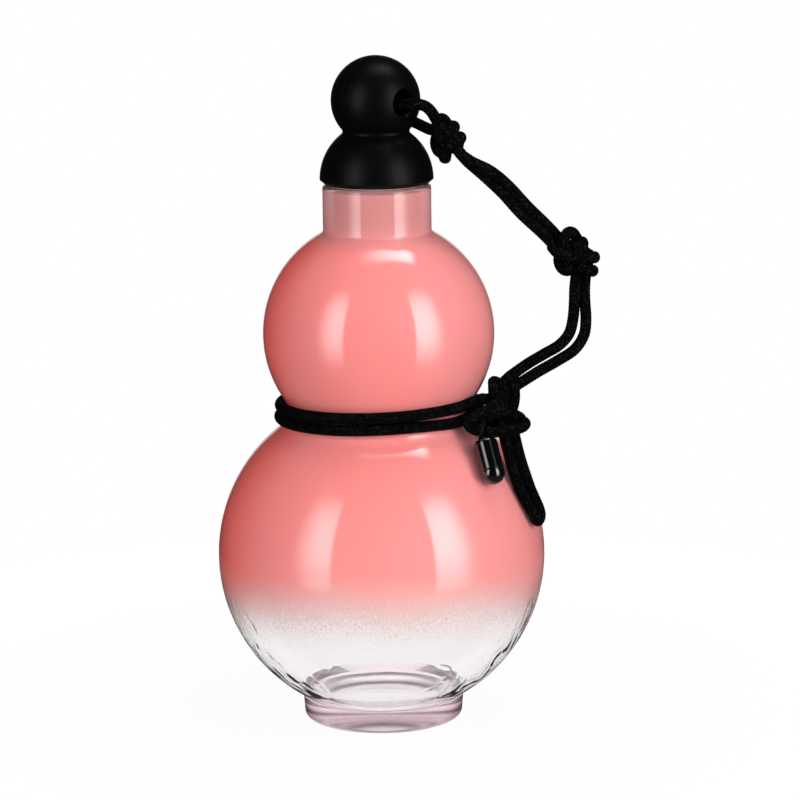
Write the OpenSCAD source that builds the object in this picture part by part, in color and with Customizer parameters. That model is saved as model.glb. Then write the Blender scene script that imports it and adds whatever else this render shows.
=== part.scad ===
// Gourd water bottle: a blown glass vessel of two bulbs, a push-in cap with a ball handle,
// and a knotted cord that ties the cap to the waist, where a small toggle hangs.
// The bottle stands on z = 0 with its axis on z, and the cord hangs on the +x side.

/* [Vessel] */
// Outer diameter of the lower bulb
lower_d = 119; // [99:1:143]
// Outer diameter of the upper bulb
upper_d = 83.5; // [69:0.5:100]
// Height from the lower bulb's centre to the upper bulb's centre
bulb_gap = 81.5; // [78:0.5:90]
// Radius of the hollow curve where the bulbs meet
waist_f = 10; // [8.5:0.5:12]
// Thickness of the glass in the bulbs
wall = 2.6; // [2:0.1:3.6]
// Thickness of the glass in the middle of the base
base_t = 4; // [3:0.25:6]
// Radius of the dished floor inside
floor_dish = 110; // [90:5:150]

/* [Neck] */
// Outer diameter of the neck
neck_d = 39; // [34:0.5:42]
// Length of the straight neck above the upper bulb
neck_len = 17; // [14:0.5:22]
// Thickness of the glass in the neck
neck_wall = 3.5; // [2.9:0.1:4.2]
// Rounding of the lip's outer edge
lip_round = 1.2; // [0.6:0.1:1.6]
// Rounding of the lip's inner edge
mouth_round = 0.5; // [0.3:0.1:0.8]

/* [Foot] */
// Diameter of the foot ring where it meets the table
foot_d = 58; // [50:0.5:66]
// Diameter of the foot ring at its top
foot_top_d = 59; // [51:0.5:67]
// Height from the table to the lowest point of the lower bulb's curve
foot_rise = 1.1; // [0.5:0.1:3]
// Rounding of the foot ring's lower edge
foot_round = 1.6; // [0.8:0.1:2.5]
// Diameter of the hollow under the base
punt_d = 48; // [40:0.5:50]
// Depth of the hollow under the base
punt_h = 3; // [2:0.25:4]

/* [Cap] */
// Diameter of the ball handle
ball_d = 32; // [27:0.5:38]
// Height of the ball's centre above the lip
ball_lift = 30; // [28:0.5:33]
// How far the skirt's widest line stands out past the neck
dome_over = 0.9; // [0.5:0.1:3]
// Height of the skirt's widest line above the lip
dome_lift = 1.9; // [1.5:0.1:2.5]
// How far the skirt's flat lower edge stands back from the side of the neck
edge_back = 0.9; // [0.3:0.1:1]
// Gap to the lip that the gasket leaves under the skirt
cap_gap = 0.4; // [0.3:0.05:0.7]
// Rounding in the crease between ball and skirt
crease_f = 1.2; // [0.6:0.1:2]
// Diameter of the cross hole for the cord
hole_d = 9; // [7:0.25:11]
// Turn of the cross hole about the bottle's axis
hole_turn = 41; // [35:1:47]
// Width of the countersink round the cross hole
hole_chamfer = 0.9; // [0.5:0.1:1.2]

/* [Stopper] */
// Length of the plug below the lip
plug_len = 16; // [13:0.5:19]
// Gap between the plug and the neck's bore
plug_gap = 0.3; // [0.2:0.05:0.5]
// Draft of the plug, taken off its radius over its length
plug_draft = 0.6; // [0.2:0.1:1]
// Diameter of the cap's spigot, which the plug is pressed on
spigot_d = 18; // [14:0.5:20]
// Length of that spigot
spigot_len = 7; // [5:0.5:9]
// Clearance of the spigot in its socket, and of each ring in its groove
fit_gap = 0.03; // [0.02:0.01:0.08]
// Thickness of a seal ring's section
ring_t = 2.6; // [2:0.1:3]
// Running gap between a seal ring and the bore
seal_gap = 0.05; // [0.03:0.01:0.1]
// Depth of the upper seal ring's middle below the lip
ring_upper_drop = 5; // [4:0.5:6]
// Depth of the lower seal ring's middle below the lip
ring_lower_drop = 10.5; // [8.5:0.5:11]
// Thickness of the rim gasket
gasket_t = 1.3; // [1:0.1:1.6]
// Width of the rim gasket's flat ring
gasket_w = 2.75; // [2:0.25:3]

/* [Cord] */
// Diameter of the braided cord
cord_d = 3.8; // [3.2:0.1:4.5]
// Drop of the winding for each turn round the waist
wind_pitch = 4.3; // [4:0.1:5]
// Gap between the winding and the glass
wind_gap = 0.25; // [0.2:0.05:0.5]
// Azimuth where the winding starts
wind_from = -36; // [-40:1:-32]
// Azimuth where the winding ends
wind_to = -727; // [-735:1:-720]

/* [Toggle] */
// Diameter of the toggle
toggle_d = 8.6; // [7:0.2:10]
// Length of the toggle's barrel
barrel_len = 12; // [10:0.5:16]
// Thickness of the barrel's wall
barrel_wall = 1.2; // [0.8:0.1:1.5]
// Diameter of the thin cord that holds the toggle
thong_d = 1.6; // [1.2:0.1:2]
// Gap between the thin cord's eye and the cord in it
eye_gap = 0.35; // [0.3:0.05:0.6]

/* [Hidden] */
$fn = 96;

glass_colour = [0.96, 0.52, 0.53];
black = [0.07, 0.07, 0.08];
silicone_colour = [0.85, 0.86, 0.86];
plug_colour = [0.9, 0.9, 0.88];

lower_r = lower_d / 2;
upper_r = upper_d / 2;
lower_z = lower_r + foot_rise;
upper_z = lower_z + bulb_gap;
neck_r = neck_d / 2;
bore_r = neck_r - neck_wall;
neck_root_f = 1.5;
bore_root_f = 4;
lip_z = upper_z + sqrt(upper_r * upper_r - neck_r * neck_r) + neck_len;
floor_z = punt_h + base_t;
foot_f = 1.5;
tall = 2 * (lip_z + ball_lift);

ball_r = ball_d / 2;
ball_z = lip_z + ball_lift;
dome_r = neck_r + dome_over;
dome_z = lip_z + dome_lift;
edge_r = neck_r - edge_back;
cap_z = lip_z + cap_gap;
hole_r = hole_d / 2;
groove_side = 0.15;
groove_wall = 0.85;
gasket_seat = 0.02;
gasket_r = edge_r - groove_wall - groove_side - gasket_w;
seam_w = 0.2;

plug_r = bore_r - plug_gap;
flange_gap = 0.25;
flange_r = min(plug_r, gasket_r - flange_gap);
shoulder_drop = 0.8;
plug_round = 1.5;
core_r = 9.5;
core_web = 2.9;
core_draft = 0.5;
spigot_r = spigot_d / 2;
socket_end = 0.5;
spigot_chamfer = 0.6;
ring_r = ring_t / 2;
ring_mid_r = bore_r - seal_gap - ring_r;

cord_r = cord_d / 2;
waist_c = mate(lower_z, lower_r, upper_z, upper_r, waist_f);
wind_off = waist_f - cord_r - wind_gap;
wind_rise = 4;
wind_tilt = 0.6;
wind_steps = 46;

// Ends of the knots: cap knot, elbow knot and waist knot, then their cut ends
cap_knot_top = [21.5, -6.5, 219];
cap_knot_end = [29.5, -6, 208];
cap_stub = [[25, -6, 213], [24.2, -6, 204]];
elbow_top = [65, -1, 175];
elbow_end = [74.5, -1, 162.5];
elbow_stub_out = [[71, -1, 168.7], [80.6, -1, 168.7]];
elbow_stub_down = [[71, -1, 167], [77.6, -1, 162]];
waist_knot_top = [49.5, -9, 126];
waist_knot_end = [42, -12, 121.5];
knot_r = 5.7;
waist_knot_r = 5;
wrap_r = 2.1;
wrap_pitch = 4.2;

// Route of the cord through the ball's hole and round its back, measured from the ball's centre
cap_route = [[22.8, -8.3, -9], [21.3, -9.6, -6.2], [19.6, -11.4, -3.2], [17.3, -12.9, -1],
    [14, -13.3, -0.2], [10.3, -11.6, -0.5], [5, -6, -0.6], [0, 0, -0.6], [-5, 6, -0.6], [-10, 11.5, -0.6],
    [-12, 15.3, -0.9], [-11.5, 19.5, -1.6], [-8.6, 23.2, -2.8], [-4.2, 25.6, -4.3], [0.8, 26.2, -6],
    [5.8, 25, -7.6], [10.3, 22, -9], [14, 17.6, -10], [16.8, 12.3, -10.8], [18.6, 6.5, -11.1],
    [20.2, 1, -11], [23.5, -3.6, -10.8]];

// Routes of the two cords from the cap knot to the elbow knot
upper_a = [[30.5, -8, 206.8], [34, -8, 204.6], [41, -6, 201], [47.5, -4, 195.3], [54, -2.7, 188],
    [61.3, -0.8, 180.3], [66.5, 0.5, 174]];
upper_b = [[30.2, -4, 206.6], [32.8, -4, 203.5], [38.3, -4, 198.3], [44.7, -4, 192.1], [51, -3.3, 184.7],
    [58.8, -3.3, 177.5], [65, -2.5, 171.5]];

// Routes of the two cords from the elbow knot to the waist knot
lower_inner = [[71.5, -2.3, 165], [70.7, -2.3, 158], [70.5, -2.2, 152], [70, -1.5, 146], [68.6, -1, 140.8],
    [65, -1.5, 136.8], [59.5, -3, 133.9], [53.5, -5, 130.8], [47, -7.4, 126.8]];
lower_outer = [[75, 0.2, 165], [74.4, 0.2, 158], [74.5, 0.2, 152], [74.8, -0.5, 146], [74, -1, 140.2],
    [70.5, -2, 135.2], [64.5, -4, 131.7], [57.5, -6, 128.2], [50, -8.9, 124.2]];

// First bend of the winding, between the waist knot and the waist
wind_lead = [36, -16, 119];

// Route of the hitch round the hanging tail, from the end of the winding to the waist knot
hitch = [[39.5, -12.5, 110.8], [43.5, -14.8, 111], [47.5, -15.2, 111.6], [50.6, -16.8, 112.2],
    [51.8, -20, 112], [50.6, -23.3, 111.4], [47.5, -25.6, 111], [43.5, -26.9, 110.7], [39.5, -27.3, 110.6],
    [35.5, -26.9, 111], [32.4, -26.3, 112], [31.4, -26.2, 114], [32.3, -26.2, 116.4], [35, -25.3, 118.3],
    [39, -22.8, 119.7], [42.2, -19.5, 121], [44.3, -16.4, 123.1], [45.8, -13.8, 125.3]];

// Route of the doubled tail: down from the waist knot, round its tip and up again
tail = [[45, -13.1, 120.9], [43.9, -14.9, 118.5], [42.8, -17.8, 115.3], [42.4, -20.6, 112],
    [43.2, -22.3, 108], [44.7, -23.4, 103.5], [46.2, -23.8, 98.5], [47.7, -24.1, 93.8], [49.3, -24.6, 89],
    [51.2, -25, 84.5], [53.2, -24.1, 80], [54.6, -23.4, 77], [55.2, -22.8, 75.2], [56.1, -21.5, 74.5],
    [57.1, -20.2, 75.2], [57.6, -19.6, 77], [56.6, -20.3, 80], [55.2, -22, 84.5], [53.5, -22.9, 89],
    [51.9, -22.8, 93.8], [50.4, -22.4, 98.5], [49, -22, 103.5], [47.7, -21.3, 108], [46.9, -20, 112],
    [47.3, -17, 115.5], [48.8, -14.2, 118.7], [49.8, -12, 121.6]];

// The toggle turns on the hitch's front cord and leans on the lower bulb
toggle_eye = [36.2, -27, 110.9];
toggle_run = [3.3, -8.2, -13.2];
hitch_run = [-7.1, 1, 1.4];
toggle_r = toggle_d / 2;
thong_r = thong_d / 2;
eye_r = cord_r + eye_gap + thong_r;
toggle_drop = 3.6;
cavity_r = toggle_r - barrel_wall;
barrel_top = 3;
eye_rim = 1.4;
eye_seat_r = toggle_r - eye_rim;
eye_seat = 1.4;
barrel_round = 1.6;
joint_round = 0.35;
thong_gap = 0.1;
thong_hole_r = thong_r + thong_gap;

// The barrel hangs on the thin cord's ball stop, which sits on the edge of the barrel's hole
stop_gap = 0.7;
stop_r = cavity_r - stop_gap;
stop_z = toggle_drop + barrel_top + sqrt(stop_r * stop_r - thong_hole_r * thong_hole_r) + fit_gap;
stop_play = 1.7;
plug_seat = barrel_len - barrel_top - 2 * stop_r - stop_play;

// Centre of a curve of radius f that touches two balls on the axis from outside
function mate(z1, r1, z2, r2, f) =
    let (d = z2 - z1, a = r1 + f, b = r2 + f, h = (d * d + a * a - b * b) / (2 * d))
    [sqrt(a * a - h * h), z1 + h];

function arc(c, r, from, to, steps) =
    [for (i = [0:steps]) let (a = from + (to - from) * i / steps) c + r * [cos(a), sin(a)]];

function unit(v) = v / norm(v);

// Direction of a route at its point i
function heading(p, i) = unit(p[min(i + 1, len(p) - 1)] - p[max(i - 1, 0)]);

// The part of u that is square to the direction t
function squared(u, t) = unit(u - t * (u * t));

// An up vector carried along the route without twist
function carried(p, up) =
    [for (i = 0, u = squared(up, heading(p, 0)); i < len(p);
        i = i + 1, u = squared(u, heading(p, min(i, len(p) - 1)))) u];

function ring(c, t, u, sides) =
    let (s = cross(t, u))
    [for (k = [0:sides - 1]) let (a = 360 * (k + 0.5) / sides) c + cord_r * (cos(a) * u + sin(a) * s)];

// Distance from point q to the line from a to b
function reach(q, a, b) =
    let (d = b - a, k = max(0, min(1, (q - a) * d / (d * d))))
    norm(q - a - k * d);

// Least gap of a cord to itself, between points that lie at least skip steps apart
function least_gap(p, skip) =
    min([for (i = [0:len(p) - 1], j = [0:len(p) - 2]) if (abs(i - j) >= skip && abs(i - j - 1) >= skip)
        reach(p[i], p[j], p[j + 1])]) - cord_d;

// The winding lies in the hollow of the waist and falls by one pitch a turn
function wind_z(az) =
    waist_c[1] + wind_rise - wind_pitch * (wind_from - az) / 360 + wind_tilt * cos(az);
function wind_in(az) =
    let (h = wind_z(az) - waist_c[1])
    [-sqrt(wind_off * wind_off - h * h), h];
function swing(p, az) = [p[0] * cos(az), p[0] * sin(az), p[1]];
function wind_point(az) = swing(waist_c + wind_in(az), az);
wind_turns = [for (i = [0:wind_steps]) wind_from + (wind_to - wind_from) * i / wind_steps];
wind_start = unit(waist_knot_end - waist_knot_top);
wind_route = concat([waist_knot_end, waist_knot_end + cord_d * wind_start, wind_lead],
    [for (az = wind_turns) wind_point(az)]);
wind_ups = concat([for (i = [0:2]) swing(wind_in(wind_from) / wind_off, wind_from)],
    [for (az = wind_turns) swing(wind_in(az) / wind_off, az)]);
wind_last = wind_route[len(wind_route) - 1];
wind_exit = unit(wind_last - wind_route[len(wind_route) - 2]);
hitch_route = concat([wind_last, wind_last + cord_d * wind_exit], hitch);
cap_loop_route = [for (p = cap_route) p + [0, 0, ball_z]];

module half_plane() {
    translate([0, -tall / 2]) square([tall, 2 * tall]);
}

// Fills the crease between two balls on the axis with a hollow curve
module ball_web(z1, r1, z2, r2, f) {
    c = mate(z1, r1, z2, r2, f);
    t1 = [0, z1] + (c - [0, z1]) * r1 / (r1 + f);
    t2 = [0, z2] + (c - [0, z2]) * r2 / (r2 + f);
    difference() {
        polygon([[0, z1], t1, t2, [0, z2]]);
        translate(c) circle(f);
    }
}

// Fills the crease between a ball and a post above it
module post_web(z, r, post_r, f) {
    c = [post_r + f, z + sqrt((r + f) * (r + f) - (post_r + f) * (post_r + f))];
    t = [0, z] + (c - [0, z]) * r / (r + f);
    difference() {
        polygon([[0, z], t, [post_r, c[1]], [0, c[1]]]);
        translate(c) circle(f);
    }
}

module foot_outline() {
    crease_r = foot_top_d / 2 + foot_f;
    crease = [crease_r, lower_z - sqrt(pow(lower_r + foot_f, 2) - crease_r * crease_r)];
    polygon(concat([[0, 0]], arc([foot_d / 2 - foot_round, foot_round], foot_round, -90, 0, 12),
        arc(crease, foot_f, 180, atan2(lower_z - crease[1], -crease_r), 8), [[0, lower_z]]));
}

module punt_outline() {
    r = (pow(punt_d / 2, 2) + punt_h * punt_h) / (2 * punt_h);
    translate([0, punt_h - r]) circle(r, $fn = 360);
}

module bottle_outside() {
    intersection() {
        half_plane();
        union() {
            translate([0, lower_z]) circle(lower_r);
            translate([0, upper_z]) circle(upper_r);
            ball_web(lower_z, lower_r, upper_z, upper_r, waist_f);
            post_web(upper_z, upper_r, neck_r, neck_root_f);
            translate([0, upper_z]) square([neck_r, lip_z - lip_round - upper_z]);
            translate([0, upper_z]) square([neck_r - lip_round, lip_z - upper_z]);
            translate([neck_r - lip_round, lip_z - lip_round]) circle(lip_round);
            foot_outline();
        }
    }
}

module bottle_inside() {
    mouth_r = bore_r + mouth_round;
    intersection() {
        half_plane();
        translate([0, floor_z + floor_dish]) circle(floor_dish, $fn = 360);
        union() {
            translate([0, lower_z]) circle(lower_r - wall);
            translate([0, upper_z]) circle(upper_r - wall);
            ball_web(lower_z, lower_r - wall, upper_z, upper_r - wall, waist_f + wall);
            post_web(upper_z, upper_r - wall, bore_r, bore_root_f);
            translate([0, upper_z]) square([bore_r, lip_z - upper_z + 1]);
        }
    }
    difference() {
        translate([0, lip_z - mouth_round]) square([mouth_r, mouth_round + 1]);
        translate([mouth_r, lip_z - mouth_round]) circle(mouth_round);
    }
}

module bottle() {
    color(glass_colour) rotate_extrude() difference() {
        bottle_outside();
        punt_outline();
        bottle_inside();
    }
}

module cap_outline() {
    intersection() {
        polygon([[0, cap_z], [edge_r, cap_z], [dome_r, dome_z], [tall, dome_z], [tall, tall], [0, tall]]);
        union() {
            translate([0, ball_z]) circle(ball_r);
            translate([0, dome_z]) circle(dome_r);
            ball_web(dome_z, dome_r, ball_z, ball_r, crease_f);
        }
    }
}

// The cross hole with a countersink at each mouth
module cross_hole() {
    face = sqrt(ball_r * ball_r - hole_r * hole_r);
    sink = ball_r - face + hole_chamfer + 0.5;
    translate([0, 0, ball_z]) rotate([90, 0, hole_turn]) {
        cylinder(h = 3 * ball_r, r = hole_r, center = true);
        for (turn = [0, 180]) rotate([turn, 0, 0])
            translate([0, 0, face - hole_chamfer]) cylinder(h = sink, r1 = hole_r, r2 = hole_r + sink);
    }
}

// The moulding's parting line round the ball, square to the cross hole
module ball_seam() {
    crease_z = mate(dome_z, dome_r, ball_z, ball_r, crease_f)[1];
    intersection() {
        translate([0, 0, ball_z]) rotate([90, 0, hole_turn])
            rotate_extrude() translate([ball_r, 0]) circle(seam_w, $fn = 24);
        translate([-ball_r - 1, -ball_r - 1, crease_z + 1]) cube(2 * ball_r + 2);
    }
}

module cap_shell() {
    gasket_top = lip_z + gasket_t + gasket_seat + fit_gap;
    spigot_z = cap_z - spigot_len;
    color(black) difference() {
        rotate_extrude() {
            difference() {
                cap_outline();
                translate([gasket_r - groove_side, 0]) square([gasket_w + 2 * groove_side, gasket_top]);
            }
            polygon([[0, spigot_z], [spigot_r - spigot_chamfer, spigot_z],
                [spigot_r, spigot_z + spigot_chamfer], [spigot_r, dome_z], [0, dome_z]]);
        }
        cross_hole();
        ball_seam();
    }
}

// Outline of the plug: its body with two ring grooves, the flange under the cap and the socket for
// the cap's spigot
module plug_outline() {
    foot_z = lip_z - plug_len;
    foot_r = plug_r - plug_draft;
    top_z = lip_z - shoulder_drop;
    socket_r = spigot_r + fit_gap;
    socket_z = cap_z - spigot_len - socket_end;
    core_z = socket_z - core_web;
    difference() {
        polygon(concat([[core_r, foot_z]],
            arc([foot_r - plug_round, foot_z + plug_round], plug_round, -90, 0, 8),
            [[plug_r, top_z], [flange_r, top_z], [flange_r, cap_z], [socket_r, cap_z], [socket_r, socket_z],
            [0, socket_z], [0, core_z], [core_r - core_draft, core_z]]));
        for (drop = [ring_upper_drop, ring_lower_drop])
            translate([ring_mid_r - ring_r - fit_gap, lip_z - drop - ring_r - fit_gap])
                square([plug_r, ring_t + 2 * fit_gap]);
    }
}

module stopper_plug() {
    color(plug_colour) rotate_extrude() plug_outline();
}

module seal_ring(drop) {
    color(silicone_colour) rotate_extrude() translate([ring_mid_r, lip_z - drop]) circle(ring_r);
}

module rim_gasket() {
    color(silicone_colour) rotate_extrude()
        translate([gasket_r, lip_z + gasket_seat]) square([gasket_w, gasket_t]);
}

// Sets its children, made along z, on the line from a to b
module along(a, b) {
    d = b - a;
    translate(a) rotate([0, acos(d[2] / norm(d)), atan2(d[1], d[0])]) children();
}

// A knot whose cord lies in wraps round the cords that it ties
module wrapped_knot(a, b, r, wraps) {
    length = norm(b - a);
    core = r - 1.5;
    first = (length - wrap_pitch * (wraps - 1)) / 2;
    along(a, b) rotate_extrude() intersection() {
        square([2 * r, length]);
        union() {
            square([core, length]);
            for (i = [0:wraps - 1]) translate([r - wrap_r, first + wrap_pitch * i]) circle(wrap_r);
        }
    }
}

// A cut end of cord, melted round at its tip b
module cut_end(a, b) {
    length = norm(b - a) - cord_r;
    along(a, b) {
        cylinder(h = length, r = cord_r);
        translate([0, 0, length]) sphere(cord_r);
    }
}

// A cord swept along the route p, with an up vector for each of its points
module cord(p, ups, sides = 8) {
    last = len(p) - 1;
    points = [for (i = [0:last]) each ring(p[i], heading(p, i), squared(ups[i], heading(p, i)), sides)];
    walls = [for (i = [0:last - 1], k = [0:sides - 1])
        let (a = i * sides + k, b = i * sides + (k + 1) % sides)
        each [[a, b, b + sides], [a, b + sides, a + sides]]];
    ends = [for (k = [1:sides - 2]) each [[0, k + 1, k], [last * sides, last * sides + k, last * sides + k + 1]]];
    color(black) polyhedron(points, concat(walls, ends));
}

module cap_loop() {
    echo(cap_loop_least_gap = least_gap(cap_loop_route, 4));
    cord(cap_loop_route, carried(cap_loop_route, [0, 0, 1]));
}

module cap_knot() {
    color(black) {
        wrapped_knot(cap_knot_top, cap_knot_end, knot_r, 3);
        cut_end(cap_stub[0], cap_stub[1]);
    }
}

module strand(p) {
    cord(p, carried(p, [0, 1, 0]));
}

module elbow_knot() {
    color(black) {
        wrapped_knot(elbow_top, elbow_end, knot_r, 3);
        cut_end(elbow_stub_out[0], elbow_stub_out[1]);
        cut_end(elbow_stub_down[0], elbow_stub_down[1]);
    }
}

module waist_knot() {
    color(black) wrapped_knot(waist_knot_top, waist_knot_end, waist_knot_r, 2);
}

module waist_winding() {
    echo(waist_winding_least_gap = least_gap(wind_route, 12));
    cord(wind_route, wind_ups, 6);
}

module hitch_loop() {
    echo(hitch_loop_least_gap = least_gap(hitch_route, 3));
    cord(hitch_route, carried(hitch_route, [0, 0, 1]));
}

module tail_loop() {
    echo(tail_loop_least_gap = least_gap(tail, 4));
    cord(tail, carried(tail, [0.8, -0.6, 0]));
}

// Sets its children, made along z from the eye, on the toggle's axis
module on_toggle() {
    along(toggle_eye, toggle_eye + toggle_run) children();
}

module toggle_cord() {
    color(black) {
        translate(toggle_eye) rotate([0, acos(hitch_run[2] / norm(hitch_run)), atan2(hitch_run[1], hitch_run[0])])
            rotate_extrude() translate([eye_r, 0]) circle(thong_r);
        on_toggle() {
            translate([0, 0, eye_r]) cylinder(h = stop_z - eye_r, r = thong_r);
            translate([0, 0, stop_z]) sphere(stop_r);
        }
    }
}

module toggle_barrel() {
    end_z = toggle_drop + barrel_len;
    color(black) on_toggle() rotate_extrude() difference() {
        polygon(concat([[0, toggle_drop]],
            arc([toggle_r - barrel_round, toggle_drop + barrel_round], barrel_round, -90, 0, 8),
            [[toggle_r, end_z - joint_round], [toggle_r - joint_round, end_z], [0, end_z]]));
        square([thong_hole_r, end_z]);
        square([eye_seat_r, toggle_drop + eye_seat]);
        translate([0, toggle_drop + barrel_top]) square([cavity_r, barrel_len]);
    }
}

module toggle_plug() {
    seat_z = toggle_drop + barrel_len;
    dome_mid_z = seat_z + joint_round;
    color(black) on_toggle() rotate_extrude() union() {
        translate([0, seat_z - plug_seat]) square([cavity_r - fit_gap, plug_seat + joint_round]);
        polygon([[0, seat_z], [toggle_r - joint_round, seat_z], [toggle_r, dome_mid_z], [0, dome_mid_z]]);
        intersection() {
            translate([0, dome_mid_z]) circle(toggle_r);
            translate([0, dome_mid_z]) square(2 * toggle_r);
        }
    }
}

bottle();
cap_shell();
stopper_plug();
seal_ring(ring_upper_drop);  // seal_ring_upper
seal_ring(ring_lower_drop);  // seal_ring_lower
rim_gasket();
cap_loop();
cap_knot();
strand(upper_a);  // upper_strand_a
strand(upper_b);  // upper_strand_b
elbow_knot();
strand(lower_inner);  // lower_strand_inner
strand(lower_outer);  // lower_strand_outer
waist_knot();
waist_winding();
hitch_loop();
tail_loop();
toggle_cord();
toggle_barrel();
toggle_plug();
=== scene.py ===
"""Looks of a gourd water bottle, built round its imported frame.

A glass vessel of two bulbs is sprayed coral and fades to clear glass above its foot. A satin black
cap with a ball handle closes it, and a knotted braided cord ties the ball to the waist, where a small
polished toggle hangs. Everything is in metres, in the frame's own axes.
"""

from __future__ import annotations

import logging
import math
from dataclasses import dataclass, field
from enum import Enum

import bmesh
import bpy
import numpy as np
from mathutils import Matrix, Vector, noise

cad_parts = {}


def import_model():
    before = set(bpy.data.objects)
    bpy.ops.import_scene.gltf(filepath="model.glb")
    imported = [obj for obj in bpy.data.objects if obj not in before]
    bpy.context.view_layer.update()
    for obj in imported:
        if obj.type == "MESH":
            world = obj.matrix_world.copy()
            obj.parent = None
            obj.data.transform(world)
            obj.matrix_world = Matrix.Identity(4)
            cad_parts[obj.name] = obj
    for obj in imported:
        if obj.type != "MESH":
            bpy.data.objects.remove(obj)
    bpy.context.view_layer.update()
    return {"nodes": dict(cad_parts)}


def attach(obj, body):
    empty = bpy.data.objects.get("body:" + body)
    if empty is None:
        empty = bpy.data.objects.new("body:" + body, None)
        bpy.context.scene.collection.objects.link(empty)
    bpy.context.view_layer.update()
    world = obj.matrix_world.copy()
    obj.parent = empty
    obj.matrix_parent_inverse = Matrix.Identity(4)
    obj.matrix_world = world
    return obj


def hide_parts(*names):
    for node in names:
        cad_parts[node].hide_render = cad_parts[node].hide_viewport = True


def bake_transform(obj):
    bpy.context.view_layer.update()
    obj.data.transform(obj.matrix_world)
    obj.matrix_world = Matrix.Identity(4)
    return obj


log = logging.getLogger("gourd_bottle")

MM = 0.001
Point = tuple[float, float, float]
Route = list[Point]


class Body(str, Enum):
    """The moving bodies of the frame."""

    BOTTLE = "bottle"
    GASKET = "gasket"
    CAP = "cap"
    TOGGLE = "toggle"


class Slot(str, Enum):
    """The material slots."""

    GLASS = "sprayed_glass"
    CAP = "cap_plastic"
    PLUG = "plug_plastic"
    SILICONE = "silicone"
    CORD = "braided_cord"
    TOGGLE = "toggle_plastic"


def link(obj: bpy.types.Object) -> bpy.types.Object:
    """Puts an object into the scene and returns it."""
    bpy.context.scene.collection.objects.link(obj)
    return obj


def finish_mesh(bm: bmesh.types.BMesh, name: str, smooth: bool = True) -> bpy.types.Object:
    """Turns a bmesh into an object in the scene.

    Args:
        bm: The finished bmesh, which is freed.
        name: The piece's name.
        smooth: Whether its faces are shaded smooth.

    Returns:
        The new object, at the origin.
    """
    mesh = bpy.data.meshes.new(name)
    bm.to_mesh(mesh)
    bm.free()
    for face in mesh.polygons:
        face.use_smooth = smooth
    return link(bpy.data.objects.new(name, mesh))


@dataclass(frozen=True)
class StudioCamera:
    """The camera at the photograph's viewing angle.

    Attributes:
        place: Where it stands, in metres.
        lens: Focal length in millimetres on a sensor 36 mm wide.
        yaw_deg: Turn to the right of +Y.
        pitch_deg: Tilt below the horizon.
        roll_deg: Turn about its own line of sight.
    """

    place: Point = (0.0, -1.0996, 0.3378)
    lens: float = 139.2
    yaw_deg: float = 0.385
    pitch_deg: float = 11.347
    roll_deg: float = -0.706

    def build(self) -> bpy.types.Object:
        """Makes the camera and sets it as the scene's own."""
        yaw, pitch, roll = (math.radians(a) for a in (self.yaw_deg, self.pitch_deg, self.roll_deg))
        ahead = Vector((math.sin(yaw) * math.cos(pitch), math.cos(yaw) * math.cos(pitch), -math.sin(pitch)))
        level = Vector((math.cos(yaw), -math.sin(yaw), 0.0))
        above = level.cross(ahead)
        right = level * math.cos(roll) + above * math.sin(roll)
        top = above * math.cos(roll) - level * math.sin(roll)
        data = bpy.data.cameras.new("camera")
        data.lens = self.lens
        data.sensor_width = 36.0
        data.clip_start, data.clip_end = 0.05, 20.0
        camera = link(bpy.data.objects.new("camera", data))
        turn = Matrix((right, top, -ahead)).transposed().to_4x4()
        camera.matrix_world = Matrix.Translation(self.place) @ turn
        bpy.context.scene.camera = camera
        return camera


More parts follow.
